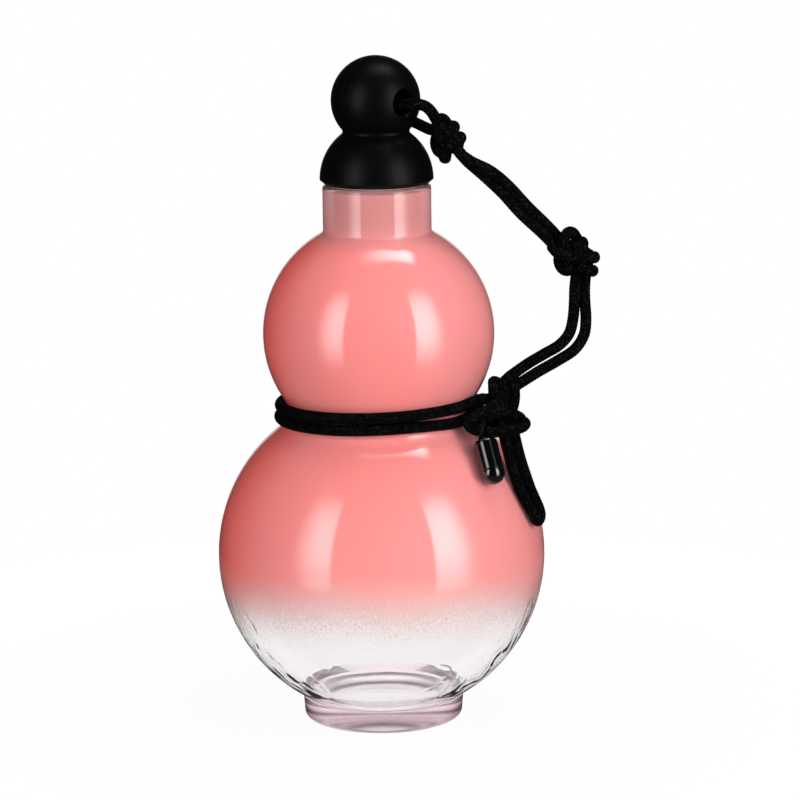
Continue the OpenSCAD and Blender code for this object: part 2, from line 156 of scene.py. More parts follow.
class Nodes:
    """Adds and joins the nodes of one material, node group or world."""

    def __init__(self, tree: bpy.types.NodeTree) -> None:
        """Starts on a node tree."""
        self.tree = tree

    def add(self, kind: str, **values: object) -> bpy.types.Node:
        """Adds a node.

        Args:
            kind: The node's type name.
            **values: Properties of the node, set by name.

        Returns:
            The new node.
        """
        node = self.tree.nodes.new(kind)
        for name, value in values.items():
            setattr(node, name, value)
        return node

    def feed(self, socket: bpy.types.NodeSocket, value: object) -> None:
        """Sets a socket to a plain value, or joins an output to it."""
        if isinstance(value, bpy.types.NodeSocket):
            self.tree.links.new(value, socket)
        else:
            socket.default_value = value

    def maths(self, operation: str, *values: object, clamp: bool = False) -> bpy.types.NodeSocket:
        """Adds a Math node and returns its result.

        Args:
            operation: The node's operation.
            *values: Its inputs, as numbers or outputs of other nodes.
            clamp: Whether the result is kept from 0 to 1.

        Returns:
            The node's output.
        """
        node = self.add("ShaderNodeMath", operation=operation, use_clamp=clamp)
        for socket, value in zip(node.inputs, values):
            self.feed(socket, value)
        return node.outputs[0]

    def mix(self, share: object, low: object, high: object) -> bpy.types.NodeSocket:
        """Mixes two colours.

        Args:
            share: How much of the second colour, from 0 to 1.
            low: The first colour.
            high: The second colour.

        Returns:
            The mixed colour.
        """
        node = self.add("ShaderNodeMix", data_type="RGBA")
        self.feed(node.inputs["Factor"], share)
        self.feed(node.inputs["A"], low)
        self.feed(node.inputs["B"], high)
        return node.outputs["Result"]

    def ramp(self, value: object, low: float, high: float) -> bpy.types.NodeSocket:
        """Maps a value smoothly from 0 at low to 1 at high."""
        node = self.add("ShaderNodeMapRange", interpolation_type="SMOOTHSTEP")
        self.feed(node.inputs["Value"], value)
        node.inputs["From Min"].default_value = low
        node.inputs["From Max"].default_value = high
        return node.outputs["Result"]

    def noise(self, place: object, scale: float, detail: float = 2.0,
              roughness: float = 0.5) -> bpy.types.NodeSocket:
        """Adds a Noise Texture and returns its value.

        Args:
            place: The coordinates that it reads.
            scale: Its scale per metre.
            detail: How many octaves it has.
            roughness: How strong the finer octaves are.

        Returns:
            The noise value.
        """
        node = self.add("ShaderNodeTexNoise")
        self.feed(node.inputs["Vector"], place)
        node.inputs["Scale"].default_value = scale
        node.inputs["Detail"].default_value = detail
        node.inputs["Roughness"].default_value = roughness
        return node.outputs["Fac"]

    def object_place(self) -> bpy.types.NodeSocket:
        """Returns the Object coordinates."""
        return self.add("ShaderNodeTexCoord").outputs["Object"]


class SharedGroups:
    """The node groups that more than one finish uses, each built once."""

    def __init__(self) -> None:
        """Builds every group."""
        self.grain = self._grain()
        self.smudges = self._smudges()
        self.braid = self._braid()

    @staticmethod
    def _start(name: str, inputs: dict[str, tuple[str, float]],
               outputs: dict[str, str]) -> tuple[bpy.types.NodeTree, Nodes, bpy.types.Node, bpy.types.Node]:
        """Starts a node group with its sockets.

        Args:
            name: The group's name.
            inputs: Each input's socket type and start value.
            outputs: Each output's socket type.

        Returns:
            The group, its builder, and its input and output nodes.
        """
        tree = bpy.data.node_groups.new(name, "ShaderNodeTree")
        for label, (kind, start) in inputs.items():
            socket = tree.interface.new_socket(label, in_out="INPUT", socket_type=kind)
            if kind == "NodeSocketFloat":
                socket.default_value = start
        for label, kind in outputs.items():
            tree.interface.new_socket(label, in_out="OUTPUT", socket_type=kind)
        nodes = Nodes(tree)
        return tree, nodes, nodes.add("NodeGroupInput"), nodes.add("NodeGroupOutput")

    def _grain(self) -> bpy.types.NodeTree:
        """Fine grain of a moulded surface: a height and a roughness that wander a little."""
        tree, nodes, taken, given = self._start(
            "moulded_grain",
            {"Vector": ("NodeSocketVector", 0.0), "Roughness": ("NodeSocketFloat", 0.4),
             "Spread": ("NodeSocketFloat", 0.08)},
            {"Height": "NodeSocketFloat", "Roughness": "NodeSocketFloat"})
        fine = nodes.noise(taken.outputs["Vector"], 4200.0, 2.0)
        broad = nodes.noise(taken.outputs["Vector"], 260.0, 3.0)
        nodes.feed(given.inputs["Height"], nodes.maths("MULTIPLY_ADD", broad, 0.35, fine))
        swing = nodes.maths("MULTIPLY", nodes.maths("SUBTRACT", broad, 0.5), taken.outputs["Spread"])
        nodes.feed(given.inputs["Roughness"],
                   nodes.maths("MULTIPLY_ADD", swing, 2.0, taken.outputs["Roughness"]))
        return tree

    def _smudges(self) -> bpy.types.NodeTree:
        """Faint handling marks and dust: a mask that is 1 on a mark."""
        tree, nodes, taken, given = self._start(
            "handling_marks",
            {"Vector": ("NodeSocketVector", 0.0), "Amount": ("NodeSocketFloat", 0.2)},
            {"Mask": "NodeSocketFloat"})
        cloud = nodes.ramp(nodes.noise(taken.outputs["Vector"], 55.0, 4.0, 0.6), 0.52, 0.74)
        specks = nodes.ramp(nodes.noise(taken.outputs["Vector"], 2600.0, 1.0), 0.70, 0.78)
        both = nodes.maths("MAXIMUM", cloud, nodes.maths("MULTIPLY", specks, 0.6))
        nodes.feed(given.inputs["Mask"], nodes.maths("MULTIPLY", both, taken.outputs["Amount"], clamp=True))
        return tree

    def _braid(self) -> bpy.types.NodeTree:
        """The plaits of a round braid, from a UV map whose V is the length in millimetres."""
        tree, nodes, taken, given = self._start(
            "round_braid",
            {"Vector": ("NodeSocketVector", 0.0), "Carriers": ("NodeSocketFloat", 12.0),
             "Plait": ("NodeSocketFloat", 1.3)},
            {"Height": "NodeSocketFloat", "Gap": "NodeSocketFloat", "Speck": "NodeSocketFloat"})
        split = nodes.add("ShaderNodeSeparateXYZ")
        nodes.feed(split.inputs[0], taken.outputs["Vector"])
        around = nodes.maths("MULTIPLY", split.outputs["X"], taken.outputs["Carriers"])
        along = nodes.maths("DIVIDE", split.outputs["Y"], taken.outputs["Plait"])
        left = nodes.maths("ADD", around, along)
        right = nodes.maths("SUBTRACT", around, along)
        cells = nodes.maths("ADD", nodes.maths("FLOOR", left), nodes.maths("FLOOR", right))
        over = nodes.maths("GREATER_THAN", nodes.maths("FLOORED_MODULO", cells, 2.0), 0.5)
        lf, rf = nodes.maths("FRACT", left), nodes.maths("FRACT", right)
        across = self._choose(nodes, over, lf, rf)
        length = self._choose(nodes, over, rf, lf)
        bulge = nodes.maths("SINE", nodes.maths("MULTIPLY", across, math.pi))
        arch = nodes.maths("SINE", nodes.maths("MULTIPLY", length, math.pi))
        fibres = nodes.maths("SINE", nodes.maths("MULTIPLY", across, 8.0 * math.pi))
        height = nodes.maths("MULTIPLY_ADD", bulge, nodes.maths("MULTIPLY_ADD", arch, 0.6, 0.4),
                             nodes.maths("MULTIPLY", fibres, 0.10))
        nodes.feed(given.inputs["Height"], height)
        nodes.feed(given.inputs["Gap"], nodes.maths("SUBTRACT", 1.0, nodes.ramp(bulge, 0.05, 0.6)))
        seed = nodes.add("ShaderNodeCombineXYZ")
        nodes.feed(seed.inputs["X"], nodes.maths("FLOOR", left))
        nodes.feed(seed.inputs["Y"], nodes.maths("FLOOR", right))
        chance = nodes.add("ShaderNodeTexWhiteNoise", noise_dimensions="2D")
        nodes.feed(chance.inputs["Vector"], seed.outputs[0])
        nodes.feed(given.inputs["Speck"], nodes.maths("MULTIPLY", nodes.ramp(chance.outputs["Value"], 0.6, 1.0), arch))
        return tree

    @staticmethod
    def _choose(nodes: Nodes, which: object, low: object, high: object) -> bpy.types.NodeSocket:
        """Returns low where which is 0 and high where it is 1."""
        node = nodes.add("ShaderNodeMix", data_type="FLOAT")
        nodes.feed(node.inputs["Factor"], which)
        nodes.feed(node.inputs["A"], low)
        nodes.feed(node.inputs["B"], high)
        return node.outputs["Result"]


@dataclass(frozen=True)
class Finish:
    """A finish: one Principled material with named values.

    Attributes:
        name: The material's name.
        colour: Its colour.
        roughness: Its roughness.
        ior: Its index of refraction.
    """

    name: str
    colour: tuple[float, float, float]
    roughness: float
    ior: float = 1.5

    def _begin(self) -> tuple[bpy.types.Material, Nodes, bpy.types.Node]:
        """Starts the material.

        Returns:
            The material, its node builder and its Principled node.
        """
        material = bpy.data.materials.new(self.name)
        material.use_nodes = True
        nodes = Nodes(material.node_tree)
        surface = material.node_tree.nodes["Principled BSDF"]
        surface.inputs["Base Color"].default_value = (*self.colour, 1.0)
        surface.inputs["Roughness"].default_value = self.roughness
        surface.inputs["IOR"].default_value = self.ior
        return material, nodes, surface

    @staticmethod
    def _group(nodes: Nodes, tree: bpy.types.NodeTree, place: object,
               values: dict[str, float]) -> bpy.types.Node:
        """Places a shared group in the material.

        Args:
            nodes: The material's node builder.
            tree: The group.
            place: The coordinates that it reads.
            values: Its other inputs by name.

        Returns:
            The group's node.
        """
        node = nodes.add("ShaderNodeGroup", node_tree=tree)
        nodes.feed(node.inputs["Vector"], place)
        for name, value in values.items():
            node.inputs[name].default_value = value
        return node

    @staticmethod
    def _bump(nodes: Nodes, surface: bpy.types.Node, height: object, depth: float,
              strength: float = 1.0, coat: bool = False) -> None:
        """Raises the surface by a height.

        Args:
            nodes: The material's node builder.
            surface: The Principled node.
            height: The height, about 0 to 1.
            depth: The depth in metres of a height of 1.
            strength: The Bump node's strength.
            coat: Whether the clear coat follows the bump too.
        """
        bump = nodes.add("ShaderNodeBump")
        bump.inputs["Strength"].default_value = strength
        bump.inputs["Distance"].default_value = depth
        nodes.feed(bump.inputs["Height"], height)
        nodes.feed(surface.inputs["Normal"], bump.outputs["Normal"])
        if coat:
            nodes.feed(surface.inputs["Coat Normal"], bump.outputs["Normal"])


@dataclass(frozen=True)
class MouldedFinish(Finish):
    """A moulded plastic or rubber: grain, uneven gloss and handling marks.

    Attributes:
        grain_depth: Depth of the grain in metres.
        spread: How far the roughness wanders.
        marks: How strong the handling marks are.
        mark_colour: The colour that a mark turns the surface to.
        specular: Specular level.
        subsurface: Weight of the light that goes through it.
    """

    grain_depth: float = 0.00003
    spread: float = 0.06
    marks: float = 0.15
    mark_colour: tuple[float, float, float] = (0.10, 0.10, 0.11)
    specular: float = 0.5
    subsurface: float = 0.0

    def build(self, groups: SharedGroups) -> bpy.types.Material:
        """Makes the material from the shared groups."""
        material, nodes, surface = self._begin()
        place = nodes.object_place()
        grain = self._group(nodes, groups.grain, place, {"Roughness": self.roughness, "Spread": self.spread})
        marks = self._group(nodes, groups.smudges, place, {"Amount": self.marks})
        nodes.feed(surface.inputs["Base Color"],
                   nodes.mix(marks.outputs["Mask"], (*self.colour, 1.0), (*self.mark_colour, 1.0)))
        rough = nodes.maths("MULTIPLY_ADD", marks.outputs["Mask"], 0.25, grain.outputs["Roughness"])
        nodes.feed(surface.inputs["Roughness"], rough)
        surface.inputs["Specular IOR Level"].default_value = self.specular
        surface.inputs["Subsurface Weight"].default_value = self.subsurface
        surface.inputs["Subsurface Radius"].default_value = (0.003, 0.003, 0.003)
        surface.inputs["Subsurface Scale"].default_value = 1.0
        self._bump(nodes, surface, grain.outputs["Height"], self.grain_depth)
        return material


@dataclass(frozen=True)
class BraidFinish(Finish):
    """Black braided polyester: plaits, fibres along each plait, a few worn, lighter ones, and painted shade in the
    gaps between plaits.

    Attributes:
        carriers: Plaits round the cord in each direction.
        plait: Length of one plait along the cord in millimetres.
        worn: The colour of the lighter plaits.
        specular: Specular level.
        depth: Depth of the plaits in the bump, in metres.
    """

    carriers: float = 12.0
    plait: float = 1.3
    worn: tuple[float, float, float] = (0.012, 0.012, 0.012)
    specular: float = 0.035
    depth: float = 0.00016

    def build(self, groups: SharedGroups) -> bpy.types.Material:
        """Makes the material from the shared groups."""
        material, nodes, surface = self._begin()
        weave = nodes.add("ShaderNodeUVMap", uv_map="cord")
        braid = self._group(nodes, groups.braid, weave.outputs["UV"],
                            {"Carriers": self.carriers, "Plait": self.plait})
        base = (*self.colour, 1.0)
        worn = nodes.mix(braid.outputs["Speck"], base, (*self.worn, 1.0))
        # Painted shade: the gaps between plaits are darkened to a quarter of the cord's colour.
        painted_gap_shade = tuple(c * 0.25 for c in self.colour)
        nodes.feed(surface.inputs["Base Color"], nodes.mix(braid.outputs["Gap"], worn, (*painted_gap_shade, 1.0)))
        fuzz = nodes.noise(nodes.object_place(), 1800.0, 2.0)
        nodes.feed(surface.inputs["Roughness"], nodes.maths("MULTIPLY_ADD", fuzz, 0.25, self.roughness - 0.12))
        surface.inputs["Specular IOR Level"].default_value = self.specular
        self._bump(nodes, surface, braid.outputs["Height"], self.depth)
        return material


@dataclass(frozen=True)
class ClearGlass(Finish):
    """Clear soda glass, mauve where it is thick, with waves that the mould left on its inner wall.

    Attributes:
        thick_colour: The colour that thick glass turns to.
        density: How soon it turns to that colour, per metre.
        stipple: Roughness of the stippled underside.
        foot_tint: The colour of the solid glass of the foot.
        painted_flank_shade: A darker colour painted on the foot towards its flanks at ±X: painted shade.
        foot_z: Height where those colours end, in metres.
        ball_z: Height of the lower bulb's centre in metres.
        inner_r: A radius just outside the lower bulb's inner wall, in metres.
        calm_z: Height above which the inner wall is even, in metres.
        wave_depth: Depth of the waves in metres.
    """

    thick_colour: tuple[float, float, float] = (0.80, 0.50, 0.58)
    density: float = 14.0
    stipple: float = 0.20
    foot_tint: tuple[float, float, float] = (0.97, 0.90, 0.92)
    painted_flank_shade: tuple[float, float, float] = (0.47, 0.22, 0.28)
    foot_z: float = 0.009
    ball_z: float = 0.0606
    inner_r: float = 0.0578
    calm_z: float = 0.058
    wave_depth: float = 0.0002

    def build(self, groups: SharedGroups) -> bpy.types.Material:
        """Makes the material from the shared groups."""
        material, nodes, surface = self._begin()
        surface.inputs["Transmission Weight"].default_value = 1.0
        place = nodes.object_place()
        height = nodes.add("ShaderNodeSeparateXYZ")
        nodes.feed(height.inputs[0], place)
        x, y = height.outputs["X"], height.outputs["Y"]
        girth = nodes.maths("SQRT", nodes.maths("ADD", nodes.maths("MULTIPLY", x, x),
                                                nodes.maths("MULTIPLY", y, y)))
        marks = self._group(nodes, groups.smudges, place, {"Amount": 0.02})
        under = nodes.maths("MULTIPLY", nodes.ramp(height.outputs["Z"], 0.0044, 0.0036),
                            nodes.ramp(girth, 0.0288, 0.0280))
        rough = nodes.maths("MULTIPLY_ADD", under, self.stipple, self.roughness)
        nodes.feed(surface.inputs["Roughness"], nodes.maths("ADD", marks.outputs["Mask"], rough))
        foot = nodes.maths("MULTIPLY", nodes.ramp(height.outputs["Z"], self.foot_z, 0.4 * self.foot_z),
                           nodes.ramp(girth, 0.026, 0.0285))
        # Painted shade: the foot's glass darkens towards its flanks at ±X.
        side = nodes.ramp(nodes.maths("DIVIDE", nodes.maths("ABSOLUTE", x), girth), 0.70, 0.96)
        foot_tint_and_flank_shade = nodes.mix(side, (*self.foot_tint, 1.0), (*self.painted_flank_shade, 1.0))
        nodes.feed(surface.inputs["Base Color"], nodes.mix(foot, (*self.colour, 1.0), foot_tint_and_flank_shade))
        self._bump(nodes, surface, self._waves(nodes, place), self.wave_depth)
        tint = nodes.add("ShaderNodeVolumeAbsorption")
        tint.inputs["Color"].default_value = (*self.thick_colour, 1.0)
        tint.inputs["Density"].default_value = self.density
        nodes.feed(material.node_tree.nodes["Material Output"].inputs["Volume"], tint.outputs["Volume"])
        return material

    def _waves(self, nodes: Nodes, place: object) -> bpy.types.NodeSocket:
        """Returns the waves' height: long folds with sharp creases, up the inner wall's flanks only."""
        split = nodes.add("ShaderNodeSeparateXYZ")
        nodes.feed(split.inputs[0], place)
        x, y, z = (split.outputs[axis] for axis in "XYZ")
        girth = nodes.maths("SQRT", nodes.maths("ADD", nodes.maths("MULTIPLY", x, x),
                                                nodes.maths("MULTIPLY", y, y)))
        rise = nodes.maths("SUBTRACT", z, self.ball_z)
        reach = nodes.maths("SQRT", nodes.maths("ADD", nodes.maths("MULTIPLY", girth, girth),
                                                nodes.maths("MULTIPLY", rise, rise)))
        inner = nodes.ramp(reach, self.inner_r + 0.0003, self.inner_r)
        low = nodes.maths("MULTIPLY", nodes.ramp(z, self.calm_z, self.calm_z - 0.020),
                          nodes.ramp(z, 0.010, 0.018))
        flank = nodes.ramp(nodes.maths("DIVIDE", nodes.maths("ABSOLUTE", x), girth), 0.25, 0.70)
        drawn = nodes.add("ShaderNodeVectorMath", operation="MULTIPLY")
        nodes.feed(drawn.inputs[0], place)
        drawn.inputs[1].default_value = (1.0, 1.0, 0.55)
        swell = nodes.noise(drawn.outputs[0], 55.0, 1.0, 0.4)
        vein = nodes.maths("ABSOLUTE", nodes.maths("SUBTRACT", nodes.noise(drawn.outputs[0], 95.0, 1.0, 0.4),
                                                   0.5))
        crease = nodes.maths("MINIMUM", nodes.maths("MULTIPLY", vein, 5.0), 0.5)
        height = nodes.maths("ADD", swell, crease)
        share = nodes.maths("MULTIPLY", nodes.maths("MULTIPLY", inner, low),
                            nodes.maths("MULTIPLY_ADD", flank, 0.97, 0.03))
        return nodes.maths("MULTIPLY", height, share)


@dataclass(frozen=True)
class SprayCoat(Finish):
    """Coral lacquer sprayed on the glass, which thins to single droplets above the foot.

    Attributes:
        full_z: Height where the coat is full, in metres.
        end_z: Height where its last droplets lie, in metres.
        cover: How far the full coat hides the glass.
        grain: How much of the fade is single droplets, and not mist.
        neck_z: Height where the coat begins to thin towards the lip, in metres.
        lip_z: Height of the lip, in metres.
        lip_cover: How far the coat hides the glass at the lip.
        bare_z: Height above which the lip's edge is half bare, in metres.
        flank: How far down the coat reaches at the flanks, per metre of width squared.
        pale: The colour of the thin coat.
        deep: A deeper, darker coat colour towards -X: painted shade on that side.
        painted_sheen: A paler coat colour towards +X: a painted sheen on that side.
        neck: The colour of the coat on the neck.
        gloss: Roughness of the clear lacquer on top.
    """

    full_z: float = 0.069
    end_z: float = 0.034
    cover: float = 0.95
    grain: float = 0.30
    neck_z: float = 0.174
    lip_z: float = 0.188
    lip_cover: float = 0.74
    bare_z: float = 0.1947
    flank: float = 2.4
    pale: tuple[float, float, float] = (0.64, 0.41, 0.36)
    deep: tuple[float, float, float] = (0.98, 0.145, 0.125)
    painted_sheen: tuple[float, float, float] = (0.86, 0.275, 0.268)
    neck: tuple[float, float, float] = (0.80, 0.29, 0.285)
    gloss: float = 0.07

    def build(self, groups: SharedGroups) -> bpy.types.Material:
        """Makes the material from the shared groups."""
        material, nodes, surface = self._begin()
        place = nodes.object_place()
        split = nodes.add("ShaderNodeSeparateXYZ")
        nodes.feed(split.inputs[0], place)
        height = split.outputs["Z"]
        cloud = nodes.maths("SUBTRACT", nodes.noise(place, 32.0, 2.0), 0.5)
        # The sprayer's cone reached lower at the flanks.
        flank = nodes.maths("MULTIPLY", nodes.maths("POWER", split.outputs["X"], 2.0), self.flank)
        level = nodes.maths("ADD", nodes.maths("MULTIPLY_ADD", cloud, 0.006, height), flank)
        fade = nodes.ramp(level, self.end_z, self.full_z)
        # Droplets lie where the noise, spread to fill 0 to 0.8, is under the fade.
        spread = nodes.maths("MULTIPLY_ADD", nodes.maths("SUBTRACT", nodes.noise(place, 2300.0, 1.0, 0.5), 0.5),
                             2.2, 0.45)
        hit = nodes.ramp(nodes.maths("SUBTRACT", fade, nodes.maths("MINIMUM", spread, 0.8)), -0.2, 0.2)
        droplets = nodes.maths("MINIMUM", hit, nodes.maths("MULTIPLY", fade, 3.0))
        body = self._blend(nodes, self.grain, fade, droplets)
        lip = nodes.ramp(height, self.neck_z, self.lip_z)
        cover = nodes.maths("SUBTRACT", self.cover, nodes.maths("MULTIPLY", lip, self.cover - self.lip_cover))
        bare = nodes.ramp(height, self.bare_z - 0.0005, self.bare_z)
        cover = nodes.maths("MULTIPLY", cover, nodes.maths("MULTIPLY_ADD", bare, -0.5, 1.0))
        nodes.feed(surface.inputs["Alpha"], nodes.maths("MULTIPLY", body, cover, clamp=True))
        x, y = split.outputs["X"], split.outputs["Y"]
        girth = nodes.maths("SQRT", nodes.maths("ADD", nodes.maths("MULTIPLY", x, x),
                                                nodes.maths("MULTIPLY", y, y)))
        side = nodes.maths("DIVIDE", x, girth)
        # Painted shade and sheen: the coat turns deeper and darker towards -X and paler towards +X.
        full = nodes.mix(nodes.ramp(side, -0.68, -1.0), (*self.colour, 1.0), (*self.deep, 1.0))
        full = nodes.mix(nodes.ramp(side, 0.15, 0.85), full, (*self.painted_sheen, 1.0))
        sprayed = nodes.mix(nodes.maths("POWER", fade, 2.0), (*self.pale, 1.0), full)
        nodes.feed(surface.inputs["Base Color"],
                   nodes.mix(nodes.ramp(height, self.neck_z, 0.5 * (self.neck_z + self.lip_z)), sprayed,
                             (*self.neck, 1.0)))
        marks = self._group(nodes, groups.smudges, place, {"Amount": 0.05})
        nodes.feed(surface.inputs["Roughness"], nodes.maths("ADD", marks.outputs["Mask"], self.roughness))
        surface.inputs["Specular IOR Level"].default_value = 0.30
        surface.inputs["Coat Weight"].default_value = 1.0
        surface.inputs["Coat Roughness"].default_value = self.gloss
        surface.inputs["Coat IOR"].default_value = 1.6
        self._bump(nodes, surface, nodes.noise(place, 420.0, 2.0), 0.00004)
        return material

    @staticmethod
    def _blend(nodes: Nodes, share: float, low: object, high: object) -> bpy.types.NodeSocket:
        """Mixes two values by a share from 0 to 1."""
        return nodes.maths("ADD", nodes.maths("MULTIPLY", low, 1.0 - share),
                           nodes.maths("MULTIPLY", high, share))


@dataclass
class Finishes:
    """Every material of the bottle, built once."""

    groups: SharedGroups = field(default_factory=SharedGroups)

    def __post_init__(self) -> None:
        """Builds the materials."""
        self.glass = ClearGlass("clear_glass", (1.0, 0.996, 0.997), 0.0, 1.47).build(self.groups)
        self.coat = SprayCoat("coral_spray", (0.93, 0.245, 0.232), 0.50).build(self.groups)
        self.cap = MouldedFinish("satin_black", (0.0014, 0.0014, 0.0017), 0.38, specular=0.085,
                                 mark_colour=(0.006, 0.006, 0.007)).build(self.groups)
        self.plug = MouldedFinish("natural_white", (0.62, 0.60, 0.60), 0.45, mark_colour=(0.5, 0.5, 0.5),
                                  subsurface=0.3).build(self.groups)
        self.silicone = MouldedFinish("milky_silicone", (0.66, 0.63, 0.62), 0.38, 1.42, subsurface=0.5,
                                      mark_colour=(0.5, 0.5, 0.5)).build(self.groups)
        self.toggle = MouldedFinish("polished_black", (0.0012, 0.0012, 0.0014), 0.04, grain_depth=0.000002,
                                    spread=0.01, specular=0.90, mark_colour=(0.005, 0.005, 0.005)
                                    ).build(self.groups)
        self.cord = BraidFinish("black_braid", (0.0009, 0.0009, 0.0011), 0.62).build(self.groups)


@dataclass
class CordMaker:
    """Makes braided cord along a route.

    Attributes:
        radius: Radius of the cord in millimetres.
        sides: Points round each ring.
        step: Distance between rings in millimetres.
        carriers: Plaits round the cord in each direction.
        plait: Length of one plait in millimetres.
        relief: Height of a plait above the gaps in millimetres.
    """

    radius: float = 2.0
    sides: int = 48
    step: float = 0.3
    carriers: int = 12
    plait: float = 1.3
    relief: float = 0.16

    def smooth(self, route: Route) -> np.ndarray:
        """Runs one smooth curve through a route's points.

        Args:
            route: The points in millimetres.

        Returns:
            Points along the curve in millimetres, one step apart.
        """
        points = np.array(route, float)
        if len(points) < 3:
            dense = np.linspace(points[0], points[-1], 50)
        else:
            ends = np.vstack([2 * points[0] - points[1], points, 2 * points[-1] - points[-2]])
            share = np.linspace(0.0, 1.0, 24, endpoint=False)[:, None]
            parts = []
            for before, start, end, after in zip(ends, ends[1:], ends[2:], ends[3:]):
                parts.append(0.5 * (2 * start + (end - before) * share
                                    + (2 * before - 5 * start + 4 * end - after) * share ** 2
                                    + (3 * start - before - 3 * end + after) * share ** 3))
            dense = np.vstack([*parts, points[-1:]])
        run = np.concatenate([[0.0], np.cumsum(np.linalg.norm(np.diff(dense, axis=0), axis=1))])
        count = max(4, int(round(run[-1] / self.step)))
        marks = np.linspace(0.0, run[-1], count + 1)
        return np.stack([np.interp(marks, run, dense[:, axis]) for axis in range(3)], axis=1)

    @staticmethod
    def carried(line: np.ndarray) -> tuple[np.ndarray, np.ndarray]:
        """Carries two square directions along a line without twist.

        Args:
            line: The points of the line.

        Returns:
            The two directions at each point.
        """
        heading = np.gradient(line, axis=0)
        heading /= np.linalg.norm(heading, axis=1)[:, None]
        first = np.cross(heading[0], (0.31, 0.77, 0.56))
        ups = [first / np.linalg.norm(first)]
        for ahead in heading[1:]:
            up = ups[-1] - ahead * (ups[-1] @ ahead)
            ups.append(up / np.linalg.norm(up))
        up = np.array(ups)
        return up, np.cross(heading, up)

    def plaits(self, turn: np.ndarray, run: np.ndarray) -> np.ndarray:
        """Height of the braid over its gaps, in millimetres.

        Args:
            turn: Share of a turn round the cord.
            run: Length along the cord in millimetres.

        Returns:
            The height at each point.
        """
        left = turn * self.carriers + run / self.plait
        right = turn * self.carriers - run / self.plait
        over = np.mod(np.floor(left) + np.floor(right), 2.0) > 0.5
        across = np.where(over, right, left) % 1.0
        length = np.where(over, left, right) % 1.0
        return self.relief * np.sin(np.pi * across) * (0.4 + 0.6 * np.sin(np.pi * length))

    def build(self, name: str, route: Route, round_ends: tuple[bool, bool] = (False, False),
              swell: float = 0.0) -> tuple[bpy.types.Object, np.ndarray]:
        """Makes one length of cord as a mesh tube.

        Args:
            name: The piece's name.
            route: Its route in millimetres.
            round_ends: Whether its first and last ends are melted round.
            swell: How much thicker a melted end is, in millimetres.

        Returns:
            The piece, and its centreline in metres.
        """
        line = self.smooth(route)
        rings = len(line) - 1
        run = np.concatenate([[0.0], np.cumsum(np.linalg.norm(np.diff(line, axis=0), axis=1))])
        up, side = self.carried(line)
        bm = bmesh.new()
        bmesh.ops.create_grid(bm, x_segments=self.sides, y_segments=rings, size=1.0)
        flat = np.array([v.co for v in bm.verts])
        col = np.rint((flat[:, 0] + 1.0) / 2.0 * self.sides).astype(int)
        row = np.rint((flat[:, 1] + 1.0) / 2.0 * rings).astype(int)
        turn = col / self.sides
        radius = self.radius - 0.5 * self.relief + self.plaits(turn, run[row])
        for wanted, gap in ((round_ends[0], run[row]), (round_ends[1], run[-1] - run[row])):
            if wanted:
                near = np.clip(gap / self.radius, 0.0, 1.0)
                radius = (radius + swell * np.exp(-(gap / self.radius) ** 2 / 4.0)) * np.sqrt(
                    np.clip(1.0 - (1.0 - near) ** 2, 0.004, 1.0))
        angle = 2.0 * np.pi * turn
        places = line[row] + radius[:, None] * (np.cos(angle)[:, None] * up[row]
                                                + np.sin(angle)[:, None] * side[row])
        uv = bm.loops.layers.uv.new("cord")
        bm.verts.index_update()
        for vert, place in zip(bm.verts, places * MM):
            vert.co = place
        for face in bm.faces:
            for loop in face.loops:
                i = loop.vert.index
                loop[uv].uv = (turn[i], run[row[i]])
        bmesh.ops.remove_doubles(bm, verts=[v for v, c in zip(list(bm.verts), col) if c in (0, self.sides)],
                                 dist=1e-7)
        bmesh.ops.holes_fill(bm, edges=[e for e in bm.edges if e.is_boundary], sides=0)
        bmesh.ops.recalc_face_normals(bm, faces=bm.faces)
        return finish_mesh(bm, name), line * MM


@dataclass(frozen=True)
class Wrap:
    """Turns of cord wound round an axis.

    Attributes:
        start: One end of the axis in millimetres.
        end: Its other end.
        radius: Distance of the cord's middle from the axis.
        turns: How many turns it has.
        phase: Turn of its start, where 0 faces the camera.
        lean: How far each turn leans along the axis, in millimetres.
    """

    start: Point
    end: Point
    radius: float
    turns: float
    phase: float = 0.0
    lean: float = 0.0

    def route(self) -> Route:
        """Returns the route of the turns in millimetres."""
        a, b = Vector(self.start), Vector(self.end)
        ahead = (b - a).normalized()
        front = Vector((0.0, -1.0, 0.0))
        front = (front - ahead * front.dot(ahead)).normalized()
        side = ahead.cross(front)
        count = int(14 * self.turns) + 1
        points = []
        for i in range(count):
            share = i / (count - 1)
            angle = 2.0 * math.pi * (self.phase + self.turns * share)
            # Both ends dip under the turns beside them.
            dip = max(0.0, 1.0 - 7.0 * min(share, 1.0 - share))
            reach = self.radius * (1.0 - 0.45 * dip)
            point = a.lerp(b, share) + ahead * (self.lean * math.sin(angle))
            point += reach * (math.cos(angle) * front + math.sin(angle) * side)
            points.append(tuple(point))
        return points


@dataclass(frozen=True)
class Overhand:
    """A cord tied over itself and pulled tight, with its ends inside.

    Attributes:
        middle: Its middle in millimetres.
        along: The way from its single lobe to its two others.
        half: Half its width, length and depth in millimetres, to the cord's middle.
    """

    middle: Point
    along: Point
    half: Point

    def route(self) -> Route:
        """Returns the route of the cord in millimetres."""
        ahead = Vector(self.along).normalized()
        front = Vector((0.0, -1.0, 0.0))
        front = (front - ahead * front.dot(ahead)).normalized()
        side = ahead.cross(front)
        wide, tall, deep = self.half
        points = []
        for i in range(64):
            turn = 2.0 * math.pi * (0.04 + i / 64)
            point = Vector(self.middle) + wide * (math.sin(turn) + 2.0 * math.sin(2.0 * turn)) / 3.0 * side
            point += tall * (math.cos(turn) - 2.0 * math.cos(2.0 * turn)) / 3.0 * ahead
            points.append(tuple(point - deep * math.sin(3.0 * turn) * front))
        return points


